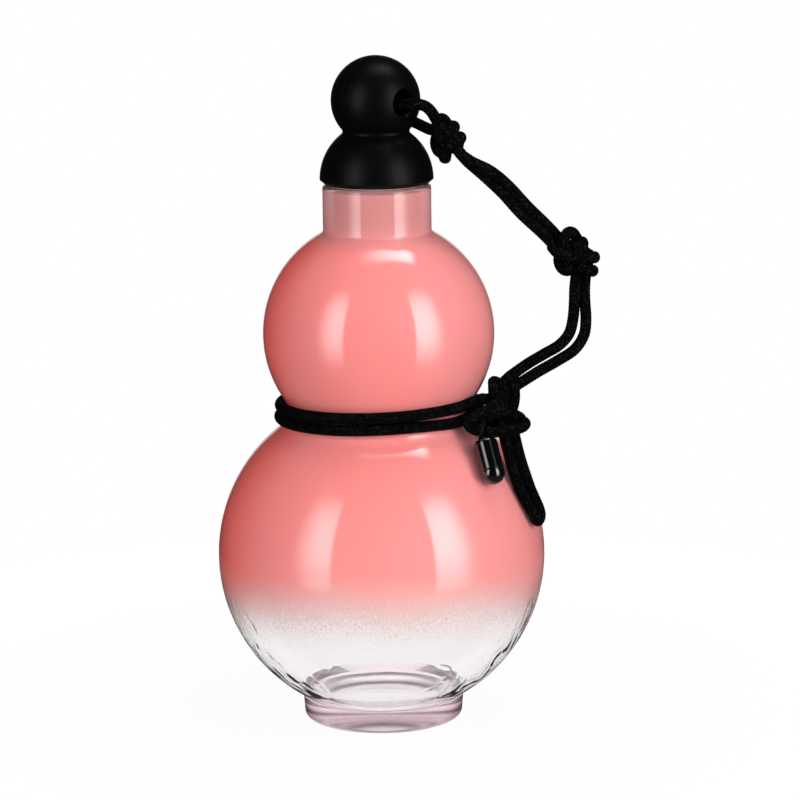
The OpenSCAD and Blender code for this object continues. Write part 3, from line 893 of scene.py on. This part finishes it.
@dataclass
class Strap:
    """The carrying cord: its routes, knots and what each length follows.

    Routes are in millimetres and are the ones that the solid parts follow.
    """

    maker: CordMaker = field(default_factory=CordMaker)
    ball_z: float = 226.016
    waist_centre: tuple[float, float] = (43.66, 114.6)
    wind_off: float = 7.85
    wind_rise: float = 4.0
    wind_pitch: float = 4.3
    wind_tilt: float = 0.6
    wind_from: float = -36.0
    wind_to: float = -727.0
    wind_steps: int = 150
    waist_knot_end: Point = (42.0, -12.0, 121.5)
    waist_knot_top: Point = (49.5, -9.0, 126.0)
    wind_lead: Point = (36.2, -16.2, 120.3)
    wind_sag: float = 1.3
    wind_sag_at: float = -398.0
    cap_route: Route = field(default_factory=lambda: [
        (22.8, -8.3, -9), (21.3, -9.6, -6.2), (19.6, -11.4, -3.2), (17.3, -12.9, -1),
        (14, -13.3, -0.2), (10.3, -11.6, -0.5), (5, -6, -0.6), (0, 0, -0.6), (-5, 6, -0.6),
        (-10, 11.5, -0.6), (-12, 15.3, -0.9), (-11.5, 19.5, -1.6), (-8.6, 23.2, -2.8),
        (-4.2, 25.6, -4.3), (0.8, 26.2, -6), (5.8, 25, -7.6), (10.3, 22, -9), (14, 17.6, -10),
        (16.8, 12.3, -10.8), (18.6, 6.5, -11.1), (20.2, 1, -11), (23.5, -3.6, -10.8)])
    upper_a: Route = field(default_factory=lambda: [
        (30.5, -8, 206.8), (34, -8, 204.4), (40.8, -6, 200.7), (47.2, -4, 195), (53.7, -2.7, 187.7),
        (61.1, -0.8, 180.1), (66.5, 0.5, 174)])
    upper_b: Route = field(default_factory=lambda: [
        (30.2, -4, 206.6), (32.9, -4, 203.7), (38.6, -4, 198.6), (45, -4, 192.4), (51.4, -3.3, 185.1),
        (59.1, -3.3, 177.8), (65, -2.5, 171.5)])
    lower_inner: Route = field(default_factory=lambda: [
        (71.5, -2.3, 165), (70.7, -2.3, 158), (70.5, -2.2, 152), (70, -1.5, 146), (68.6, -1, 140.8),
        (65, -1.5, 136.8), (59.5, -3, 133.9), (53.5, -5, 130.8), (47, -7.4, 126.8)])
    lower_outer: Route = field(default_factory=lambda: [
        (75, 0.2, 165), (74.4, 0.2, 158), (74.5, 0.2, 152), (74.8, -0.5, 146), (74, -1, 140.2),
        (70.5, -2, 135.2), (64.5, -4, 131.7), (57.5, -6, 128.2), (50, -8.9, 124.2)])
    hitch: Route = field(default_factory=lambda: [
        (39.5, -12.5, 110.8), (43.5, -14.8, 111), (47.5, -15.2, 111.6), (50.6, -16.8, 112.2),
        (51.8, -20, 112), (50.6, -23.3, 111.4), (47.5, -25.6, 111), (43.5, -26.9, 110.7),
        (39.5, -27.3, 110.6), (35.5, -26.9, 111), (32.4, -26.3, 112), (31.4, -26.2, 114),
        (32.3, -26.2, 115.3), (34.8, -25.4, 116.4), (38.2, -23.6, 117.7), (41.2, -20.8, 119.2),
        (43.4, -17.4, 121), (44.8, -14.2, 123.2)])
    tail: Route = field(default_factory=lambda: [
        (45, -13.1, 121.4), (44.4, -14.9, 118.5), (43.5, -17.8, 115.3), (43.3, -20.6, 112),
        (44.2, -22.3, 108), (45.3, -23.4, 103.5), (46.5, -23.8, 98.5), (47.9, -24.1, 93.8),
        (49.6, -24.6, 89), (51.7, -24.9, 84.8), (53.6, -24.5, 81.6), (54.8, -23.9, 79), (55.5, -23.1, 77.4),
        (56.2, -21.9, 76.7), (56.8, -20.8, 77.4), (57, -20.2, 79), (56.3, -20.5, 81.6),
        (55, -21.8, 84.8), (53.3, -22.7, 89), (51.7, -22.6, 93.8), (50.2, -22.2, 98.5), (48.9, -21.8, 103.5),
        (47.9, -21.2, 108), (47, -20, 112), (47.1, -17, 115.5), (48.1, -14, 118.7), (48.4, -11.4, 121.6),
        (47.6, -9, 123.8)])

    def winding(self) -> Route:
        """Works out the turns round the waist, from the waist knot to the hitch."""
        start = (Vector(self.waist_knot_end) - Vector(self.waist_knot_top)).normalized()
        points = [self.waist_knot_end, tuple(Vector(self.waist_knot_end) + 3.8 * start), self.wind_lead]
        for i in range(self.wind_steps + 1):
            azimuth = self.wind_from + (self.wind_to - self.wind_from) * i / self.wind_steps
            drop = self.wind_rise - self.wind_pitch * (self.wind_from - azimuth) / 360.0
            drop += self.wind_tilt * math.cos(math.radians(azimuth))
            drop -= self.wind_sag * math.exp(-((azimuth - self.wind_sag_at) / 22.0) ** 2)
            reach = self.waist_centre[0] - math.sqrt(self.wind_off ** 2 - drop ** 2)
            points.append((reach * math.cos(math.radians(azimuth)), reach * math.sin(math.radians(azimuth)),
                           self.waist_centre[1] + drop))
        return points

    def build(self, finishes: Finishes) -> None:
        """Makes every length and knot, dresses them and ties them to their bodies.

        Args:
            finishes: The bottle's materials.
        """
        cap_loop, cap_line = self.maker.build(
            "strap_cap_loop", [(x, y, z + self.ball_z) for x, y, z in self.cap_route])
        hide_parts("cap_loop")
        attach(cap_loop, Body.CAP)
        cap_knot = self._knot("strap_cap_knot", [
            (Overhand((24.6, -6.0, 213.0), (4.1, 0.0, -15.3), (4.4, 6.9, 2.5)).route(), (False, False)),
            (Wrap((23.4, -6.0, 216.6), (27.4, -6.0, 210.0), 3.9, 1.7, 0.30).route(), (False, False)),
            ([(22.8, -8.3, 217.0), (26.0, -7.8, 212.5), (30.5, -8.0, 206.8)], (False, False)),
            ([(23.5, -3.6, 215.2), (27.0, -4.2, 210.8), (30.2, -4.0, 206.6)], (False, False)),
            ([(27.0, -8.4, 213.5), (25.6, -9.3, 210.6), (24.6, -8.2, 207.4), (24.1, -6.6, 204.2)],
             (False, True))], finishes)
        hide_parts("cap_knot")
        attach(cap_knot, Body.CAP)
        elbow = self._knot("strap_elbow_knot", [
            (Overhand((69.9, -2.6, 170.4), (3.2, 0.0, -18.0), (5.8, 7.8, 2.8)).route(), (False, False)),
            (Wrap((68.2, -2.0, 173.6), (74.6, -2.0, 167.4), 4.2, 1.6, 0.15).route(), (False, False)),
            ([(66.5, 0.5, 174.0), (70.0, 0.3, 170.0), (75.0, 0.2, 165.0)], (False, False)),
            ([(65.0, -2.5, 171.5), (68.5, -2.5, 168.5), (71.5, -2.3, 165.0)], (False, False)),
            ([(62.6, -1.0, 172.6), (64.5, -6.5, 171.2), (69.0, -9.0, 170.4), (74.0, -8.6, 169.8),
              (79.0, -5.0, 169.3)], (False, True)),
            ([(72.0, -7.5, 167.0), (75.0, -7.8, 165.5), (78.0, -4.5, 163.9)], (False, True))], finishes)
        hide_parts("elbow_knot")
        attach(elbow, Body.GASKET)
        waist = self._knot("strap_waist_knot", [
            (Wrap((50.6, -9.6, 122.6), (43.0, -11.8, 123.6), 2.8, 2.1, 0.15).route(), (False, False)),
            ([(44.0, -10.6, 121.4), (41.8, -14.2, 120.8), (40.9, -16.2, 122.6), (40.8, -15.0, 125.0),
              (41.1, -11.8, 125.8), (43.4, -9.6, 124.4)], (False, False)),
            ([(47.0, -7.4, 126.8), (44.0, -10.0, 124.4), (42.0, -12.0, 121.5)], (False, False)),
            ([(50.0, -8.9, 124.2), (46.0, -11.0, 122.4), (42.0, -12.0, 121.5)], (False, False)),
            ([(33.4, -24.4, 113.6), (36.4, -24.2, 115.6), (40.6, -23.6, 116.6), (44.4, -22.4, 116.6),
              (47.4, -21.2, 115.6), (49.6, -19.0, 114.0), (50.4, -16.6, 112.6)], (True, True)),
            ([(38.4, -20.6, 113.4), (42.6, -19.6, 118.6), (45.0, -15.0, 121.2)], (True, False))], finishes)
        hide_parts("waist_knot")
        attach(waist, Body.BOTTLE)
        for name, node, route in (("strap_upper_a", "upper_strand_a", self.upper_a),
                                  ("strap_upper_b", "upper_strand_b", self.upper_b)):
            piece, line = self.maker.build(name, route)
            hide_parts(node)
            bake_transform(piece)
            self._dress(piece, finishes.cord)
        for name, node, route in (("strap_lower_inner", "lower_strand_inner", self.lower_inner),
                                  ("strap_lower_outer", "lower_strand_outer", self.lower_outer)):
            piece, line = self.maker.build(name, route)
            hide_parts(node)
            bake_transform(piece)
            self._dress(piece, finishes.cord)
        winding, line = self.maker.build("waist_cord", self.winding())
        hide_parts("waist_winding")
        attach(winding, Body.BOTTLE)
        self._dress(winding, finishes.cord)
        route = self.winding()[-1:] + self.hitch
        hitch, line = self.maker.build("hitch_cord", route)
        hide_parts("hitch_loop")
        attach(hitch, Body.BOTTLE)
        self._dress(hitch, finishes.cord)
        tail, line = self.maker.build("tail_cord", self.tail)
        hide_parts("tail_loop")
        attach(tail, Body.BOTTLE)
        self._dress(tail, finishes.cord)
        self._dress(cap_loop, finishes.cord)

    def _dress(self, piece: bpy.types.Object, material: bpy.types.Material) -> None:
        """Gives a cord its material."""
        piece.data.materials.append(material)
        log.info("%s: %d faces", piece.name, len(piece.data.polygons))

    def _knot(self, name: str, lengths: list[tuple[Route, tuple[bool, bool]]],
              finishes: Finishes) -> bpy.types.Object:
        """Makes a knot from several lengths of cord, joined into one piece.

        Args:
            name: The piece's name.
            lengths: Each length's route and whether its ends are melted round.
            finishes: The bottle's materials.

        Returns:
            The knot.
        """
        whole = bmesh.new()
        for i, (route, ends) in enumerate(lengths):
            part, _ = self.maker.build(f"{name}_{i}", route, ends, swell=0.25)
            whole.from_mesh(part.data)
            bpy.data.objects.remove(part)
        knot = finish_mesh(whole, name)
        self._dress(knot, finishes.cord)
        return knot


@dataclass
class Vessel:
    """The glass vessel and its sprayed coat. Sizes are in millimetres."""

    lower_r: float = 59.5
    upper_r: float = 41.75
    lower_z: float = 60.6
    upper_z: float = 142.1
    waist_f: float = 10.0
    wall: float = 2.6
    base_t: float = 4.0
    floor_dish: float = 110.0
    floor_f: float = 30.0
    neck_r: float = 19.5
    neck_wall: float = 3.5
    neck_root_f: float = 1.5
    bore_root_f: float = 4.0
    lip_z: float = 196.016
    lip_round: float = 1.2
    mouth_round: float = 0.5
    foot_r: float = 29.0
    foot_top_r: float = 29.5
    foot_round: float = 1.6
    foot_f: float = 1.5
    punt_r: float = 24.0
    punt_h: float = 3.0
    spins: int = 192
    wave: float = 0.12
    coat_z: float = 24.0
    coat_gap: float = 0.03

    @staticmethod
    def _arc(centre: tuple[float, float], radius: float, start: float, end: float,
             steps: int) -> list[tuple[float, float]]:
        """Returns an arc's points.

        Args:
            centre: Its centre, as radius and height.
            radius: Its radius.
            start: Its first angle in degrees.
            end: Its last angle in degrees.
            steps: How many steps it has.

        Returns:
            The points from start to end.
        """
        angles = [math.radians(start + (end - start) * i / steps) for i in range(steps + 1)]
        return [(centre[0] + radius * math.cos(a), centre[1] + radius * math.sin(a)) for a in angles]

    @staticmethod
    def _mate(z1: float, r1: float, z2: float, r2: float, f: float) -> tuple[float, float]:
        """Centre of a curve of radius f that touches two balls on the axis from outside."""
        d, a, b = z2 - z1, r1 + f, r2 + f
        h = (d * d + a * a - b * b) / (2 * d)
        return math.sqrt(a * a - h * h), z1 + h

    @staticmethod
    def _bearing(start: tuple[float, float], end: tuple[float, float]) -> float:
        """Angle in degrees of the line from start to end."""
        return math.degrees(math.atan2(end[1] - start[1], end[0] - start[0]))

    def outside(self) -> list[tuple[float, float]]:
        """Outline of the outer face, from the flat of the foot ring up to the lip's top."""
        crease_r = self.foot_top_r + self.foot_f
        crease = (crease_r, self.lower_z - math.sqrt((self.lower_r + self.foot_f) ** 2 - crease_r ** 2))
        lower, upper = (0.0, self.lower_z), (0.0, self.upper_z)
        waist = self._mate(self.lower_z, self.lower_r, self.upper_z, self.upper_r, self.waist_f)
        root_r = self.neck_r + self.neck_root_f
        root = (root_r, self.upper_z + math.sqrt((self.upper_r + self.neck_root_f) ** 2 - root_r ** 2))
        points = [(self.foot_r - self.foot_round - 1.0, 0.0)]
        points += self._arc((self.foot_r - self.foot_round, self.foot_round), self.foot_round, -90, 0, 10)
        points += self._arc(crease, self.foot_f, 180, self._bearing(crease, lower), 8)
        points += self._arc(lower, self.lower_r, self._bearing(lower, crease), self._bearing(lower, waist), 84)[1:]
        turn = self._bearing(waist, lower) % 360, self._bearing(waist, upper) % 360
        points += self._arc(waist, self.waist_f, turn[0], turn[1], 20)[1:]
        points += self._arc(upper, self.upper_r, self._bearing(upper, waist), self._bearing(upper, root), 64)[1:]
        points += self._arc(root, self.neck_root_f, self._bearing(root, upper) % 360, 180, 8)[1:]
        lip = (self.neck_r - self.lip_round, self.lip_z - self.lip_round)
        rise = lip[1] - root[1]
        points += [(self.neck_r, root[1] + rise * i / 5) for i in range(1, 5)]
        points += self._arc(lip, self.lip_round, 0, 90, 8)
        return points

    def inside(self) -> list[tuple[float, float]]:
        """Outline of the inner face, from the mouth down to the middle of the floor."""
        bore_r = self.neck_r - self.neck_wall
        lower_r, upper_r = self.lower_r - self.wall, self.upper_r - self.wall
        lower, upper = (0.0, self.lower_z), (0.0, self.upper_z)
        waist = self._mate(self.lower_z, lower_r, self.upper_z, upper_r, self.waist_f + self.wall)
        root_r = bore_r + self.bore_root_f
        root = (root_r, self.upper_z + math.sqrt((upper_r + self.bore_root_f) ** 2 - root_r ** 2))
        mouth = (bore_r + self.mouth_round, self.lip_z - self.mouth_round)
        points = self._arc(mouth, self.mouth_round, 90, 180, 5)
        points += [(bore_r, mouth[1] + (root[1] - mouth[1]) * i / 5) for i in range(1, 5)]
        points += self._arc(root, self.bore_root_f, 180, self._bearing(root, upper) % 360, 10)
        points += self._arc(upper, upper_r, self._bearing(upper, root), self._bearing(upper, waist), 60)[1:]
        turn = self._bearing(waist, upper) % 360, self._bearing(waist, lower) % 360
        points += self._arc(waist, self.waist_f + self.wall, turn[0], turn[1], 22)[1:]
        dish = (0.0, self.punt_h + self.base_t + self.floor_dish)
        # A curve inside both circles runs from the ball's wall into the dished floor.
        d, a, b = dish[1] - lower[1], lower_r - self.floor_f, self.floor_dish - self.floor_f
        drop = (b * b - a * a - d * d) / (2 * d)
        turn = (math.sqrt(a * a - drop * drop), lower[1] - drop)
        points += self._arc(lower, lower_r, self._bearing(lower, waist), self._bearing(lower, turn), 84)[1:]
        points += self._arc(turn, self.floor_f, self._bearing(lower, turn), self._bearing(dish, turn), 16)[1:]
        points += self._arc(dish, self.floor_dish, self._bearing(dish, turn), -90, 12)[1:]
        return points

    def _punt(self) -> list[tuple[float, float]]:
        """Outline of the hollow under the base, from its middle to the foot ring."""
        r = (self.punt_r ** 2 + self.punt_h ** 2) / (2 * self.punt_h)
        centre = (0.0, self.punt_h - r)
        return self._arc(centre, r, 90, self._bearing(centre, (self.punt_r, 0.0)), 16)

    def _spin(self, outline: list[tuple[float, float]]) -> bmesh.types.BMesh:
        """Spins an outline into a surface.

        Args:
            outline: Its points, as radius and height in millimetres.

        Returns:
            The spun surface in metres, with its poles closed.
        """
        bm = bmesh.new()
        verts = [bm.verts.new((r * MM, 0.0, z * MM)) for r, z in outline]
        edges = [bm.edges.new(pair) for pair in zip(verts, verts[1:])]
        bmesh.ops.spin(bm, geom=verts + edges, cent=(0, 0, 0), axis=(0, 0, 1), dvec=(0, 0, 0),
                       angle=2 * math.pi, steps=self.spins, use_merge=True, use_duplicate=False)
        bmesh.ops.remove_doubles(bm, verts=bm.verts, dist=1e-7)
        bmesh.ops.dissolve_degenerate(bm, edges=bm.edges, dist=1e-7)
        return bm

    def _settle(self, bm: bmesh.types.BMesh) -> None:
        """Lets the inner wall wander a little, most of all low down, as blown glass does."""
        bm.normal_update()
        for vert in bm.verts:
            reach, height = math.hypot(vert.co.x, vert.co.y) / MM, vert.co.z / MM
            inner_ball = abs(math.hypot(reach, height - self.lower_z) - (self.lower_r - self.wall)) < 0.05
            if not inner_ball or height > 100:
                continue
            share = min(1.0, max(0.0, (80.0 - height) / 50.0)) * min(1.0, max(0.0, (height - 8.0) / 6.0))
            share *= min(1.0, max(0.1, 2.4 * abs(vert.co.x) / (reach * MM) - 0.8))
            drawn = Vector((vert.co.x, vert.co.y, vert.co.z * 0.45))
            bend = noise.noise(drawn * 75.0) + 0.5 * noise.noise(drawn * 170.0)
            vert.co -= vert.normal * (bend * share * self.wave * MM)

    def build(self, finishes: Finishes) -> None:
        """Makes the vessel and its coat."""
        bm = self._spin(self._punt() + self.outside() + self.inside())
        bmesh.ops.recalc_face_normals(bm, faces=bm.faces)
        self._settle(bm)
        glass = finish_mesh(bm, "glass_vessel")
        glass.data.materials.append(finishes.glass)
        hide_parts("bottle")
        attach(glass, Body.BOTTLE)
        log.info("%s: %d faces", glass.name, len(glass.data.polygons))
        self._coat(finishes)

    def _coat(self, finishes: Finishes) -> None:
        """Makes the sprayed coat as a film just outside the glass."""
        bm = self._spin([p for p in self.outside() if p[1] > self.coat_z])
        bmesh.ops.recalc_face_normals(bm, faces=bm.faces)
        bm.normal_update()
        for vert in bm.verts:
            vert.co += vert.normal * (self.coat_gap * MM)
        coat = finish_mesh(bm, "coral_coat")
        coat.data.materials.append(finishes.coat)
        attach(coat, Body.BOTTLE)
        log.info("%s: %d faces", coat.name, len(coat.data.polygons))


@dataclass
class Closure:
    """The cap, its stopper and its seals, which keep their solid parts' own shapes."""

    nodes: dict[str, bpy.types.Object]

    def dress(self, finishes: Finishes) -> None:
        """Gives each part its finish."""
        for name, material, slot in (
                ("cap_shell", finishes.cap, Slot.CAP), ("stopper_plug", finishes.plug, Slot.PLUG),
                ("seal_ring_upper", finishes.silicone, Slot.SILICONE),
                ("seal_ring_lower", finishes.silicone, Slot.SILICONE),
                ("rim_gasket", finishes.silicone, Slot.SILICONE)):
            dress_node(self.nodes[name], material)


@dataclass
class Toggle:
    """The small polished toggle and the thin cord that holds it."""

    nodes: dict[str, bpy.types.Object]

    def dress(self, finishes: Finishes) -> None:
        """Gives each part its finish."""
        for name in ("toggle_barrel", "toggle_plug"):
            dress_node(self.nodes[name], finishes.toggle)
        dress_node(self.nodes["toggle_cord"], finishes.cap)


def dress_node(node: bpy.types.Object, material: bpy.types.Material) -> None:
    """Gives a solid part its finish.

    Args:
        node: The part.
        material: Its material.
    """
    node.data.materials.clear()
    node.data.materials.append(material)
    log.info("%s: dressed", node.name)


@dataclass(frozen=True)
class Softbox:
    """A soft lamp whose light fades towards its edges.

    Attributes:
        name: The lamp's name.
        azimuth_deg: Its bearing from the bottle, where 0 is the camera's side and 90 is +X.
        distance: Its distance from the bottle's axis in metres.
        height: Height of its middle in metres.
        size: Its width and height in metres.
        level: Brightness of its brightest part, where a lit white surface is about 1.
        fades: Share of its size that fades at its first and second side, foot and head.
        aim: Height on the bottle's axis that it faces, in metres.
        mirrored: Whether gloss shows it.
    """

    name: str
    azimuth_deg: float
    distance: float
    height: float
    size: tuple[float, float]
    level: float
    fades: tuple[float, float, float, float]
    aim: float
    mirrored: bool = True

    def build(self) -> bpy.types.Object:
        """Makes the lamp."""
        data = bpy.data.lights.new(self.name, "AREA")
        data.shape = "RECTANGLE"
        data.size, data.size_y = self.size
        # Four watts per square metre give a level of 1.
        data.energy = 4.0 * self.size[0] * self.size[1] * self.level
        data.use_nodes = True
        nodes = Nodes(data.node_tree)
        place = nodes.add("ShaderNodeSeparateXYZ")
        nodes.feed(place.inputs[0], nodes.add("ShaderNodeNewGeometry").outputs["Parametric"])
        across, up = place.outputs["X"], place.outputs["Y"]
        first, second, foot, head = self.fades
        wide = nodes.maths("MULTIPLY", nodes.ramp(across, 0.0, first), nodes.ramp(across, 1.0, 1.0 - second))
        tall = nodes.maths("MULTIPLY", nodes.ramp(up, 0.0, foot), nodes.ramp(up, 1.0, 1.0 - head))
        nodes.feed(data.node_tree.nodes["Emission"].inputs["Strength"], nodes.maths("MULTIPLY", wide, tall))
        lamp = link(bpy.data.objects.new(self.name, data))
        bearing = math.radians(self.azimuth_deg)
        lamp.location = (self.distance * math.sin(bearing), -self.distance * math.cos(bearing), self.height)
        towards = Vector((0.0, 0.0, self.aim)) - lamp.location
        lamp.rotation_euler = towards.to_track_quat("-Z", "Y").to_euler()
        lamp.visible_camera = lamp.visible_transmission = False
        lamp.visible_glossy = self.mirrored
        return lamp


@dataclass
class Studio:
    """A round pale floor before a white backdrop, and soft lamps.

    Attributes:
        floor_r: Radius of the floor in metres.
        floor_z: Its height, a hair under the foot, in metres.
        glow: How much of the floor's white near the bottle doesn't take its shadow.
        near: Radius within which the floor takes the shadow, in metres.
        room: How bright the room is as a light.
        backdrop: How bright the backdrop is as a light.
        gloss_room: How bright gloss shows the room.
        glass_room: How bright glass shows the room.
        gloss_floor: How bright gloss shows the floor.
    """

    floor_r: float = 0.28
    floor_z: float = -0.0001
    glow: float = 0.93
    near: float = 0.10
    room: float = 0.10
    backdrop: float = 0.35
    gloss_room: float = 0.02
    glass_room: float = 0.50
    gloss_floor: float = 0.10
    lamps: tuple[Softbox, ...] = (
        Softbox("left_softbox", -50.0, 1.05, 0.45, (0.64, 1.9), 4.3, (0.70, 0.12, 0.45, 0.45), 0.45),
        Softbox("right_softbox", 53.0, 1.05, 0.45, (0.68, 1.9), 5.6, (0.10, 0.60, 0.45, 0.45), 0.45),
        Softbox("top_softbox", 105.0, 0.10, 1.32, (0.50, 1.10), 7.0, (0.4, 0.4, 0.15, 0.85), 0.14),
        Softbox("front_fill", 14.0, 1.70, 0.75, (1.6, 1.6), 1.7, (0.2, 0.2, 0.2, 0.2), 0.12, False))

    def build(self) -> None:
        """Makes the floor, the surround and the lamps."""
        self._floor()
        self._surround()
        for lamp in self.lamps:
            lamp.build()

    @staticmethod
    def _seen(nodes: Nodes) -> tuple[bpy.types.NodeSocket, bpy.types.NodeSocket, bpy.types.NodeSocket]:
        """Returns masks of the rays that the camera, glass and gloss send."""
        path = nodes.add("ShaderNodeLightPath")
        glass = path.outputs["Is Transmission Ray"]
        return (path.outputs["Is Camera Ray"], glass,
                nodes.maths("SUBTRACT", path.outputs["Is Glossy Ray"], glass, clamp=True))

    def _floor(self) -> None:
        """Makes the floor, which shows white and keeps a faint shadow."""
        bm = bmesh.new()
        bmesh.ops.create_circle(bm, cap_ends=True, radius=self.floor_r, segments=96)
        bmesh.ops.translate(bm, verts=bm.verts, vec=(0.0, 0.0, self.floor_z))
        floor = finish_mesh(bm, "floor")
        material = bpy.data.materials.new("pale_floor")
        material.use_nodes = True
        nodes = Nodes(material.node_tree)
        material.node_tree.nodes.clear()
        plain = nodes.add("ShaderNodeBsdfDiffuse")
        plain.inputs["Color"].default_value = (0.6, 0.6, 0.6, 1.0)
        camera, glass, gloss = self._seen(nodes)
        glow = nodes.add("ShaderNodeEmission")
        glow.inputs["Color"].default_value = (1.0, 1.0, 1.0, 1.0)
        nodes.feed(glow.inputs["Strength"], nodes.maths("MULTIPLY_ADD", gloss, self.gloss_floor - 1.03, 1.03))
        reach = nodes.add("ShaderNodeVectorMath", operation="LENGTH")
        nodes.feed(reach.inputs[0], nodes.object_place())
        away = nodes.ramp(reach.outputs["Value"], self.near, self.floor_r)
        share = nodes.maths("MULTIPLY_ADD", away, 1.0 - self.glow, self.glow)
        mixed = nodes.add("ShaderNodeMixShader")
        nodes.feed(mixed.inputs[0], nodes.maths("MAXIMUM", nodes.maths("MULTIPLY", camera, share),
                                                nodes.maths("MAXIMUM", glass, gloss)))
        nodes.feed(mixed.inputs[1], plain.outputs[0])
        nodes.feed(mixed.inputs[2], glow.outputs[0])
        nodes.feed(nodes.add("ShaderNodeOutputMaterial").inputs["Surface"], mixed.outputs[0])
        floor.data.materials.append(material)

    def _surround(self) -> None:
        """Makes the surround: a white backdrop behind the bottle and a dim room round it."""
        world = bpy.data.worlds.new("surround")
        bpy.context.scene.world = world
        world.use_nodes = True
        nodes = Nodes(world.node_tree)
        split = nodes.add("ShaderNodeSeparateXYZ")
        nodes.feed(split.inputs[0], nodes.add("ShaderNodeTexCoord").outputs["Generated"])
        camera, glass, gloss = self._seen(nodes)
        other = nodes.maths("SUBTRACT", 1.0, nodes.maths("ADD", glass, gloss), clamp=True)
        steep = nodes.ramp(nodes.maths("ABSOLUTE", split.outputs["Z"]), 0.10, 0.45)
        total = nodes.maths("MAXIMUM", camera, nodes.maths("MULTIPLY", glass, steep))
        for mask, start, full, room, backdrop in (
                (glass, 0.10, 0.60, self.glass_room, 1.2), (gloss, 0.95, 0.995, self.gloss_room, 1.0),
                (other, -0.1, 0.6, self.room, self.backdrop)):
            level = nodes.maths("MULTIPLY_ADD", nodes.ramp(split.outputs["Y"], start, full), backdrop - room, room)
            total = nodes.maths("MAXIMUM", total, nodes.maths("MULTIPLY", mask, level))
        sky = world.node_tree.nodes["Background"]
        sky.inputs["Color"].default_value = (1.0, 1.0, 1.0, 1.0)
        nodes.feed(sky.inputs["Strength"], total)


def main() -> None:
    """Builds the bottle's looks round the frame."""
    logging.basicConfig(level=logging.INFO, format="%(message)s")
    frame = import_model()
    bpy.context.scene.view_settings.view_transform = "Standard"
    StudioCamera().build()
    finishes = Finishes()
    Strap().build(finishes)
    Vessel().build(finishes)
    Closure(frame["nodes"]).dress(finishes)
    Toggle(frame["nodes"]).dress(finishes)
    Studio().build()


if __name__ == "__main__":
    main()
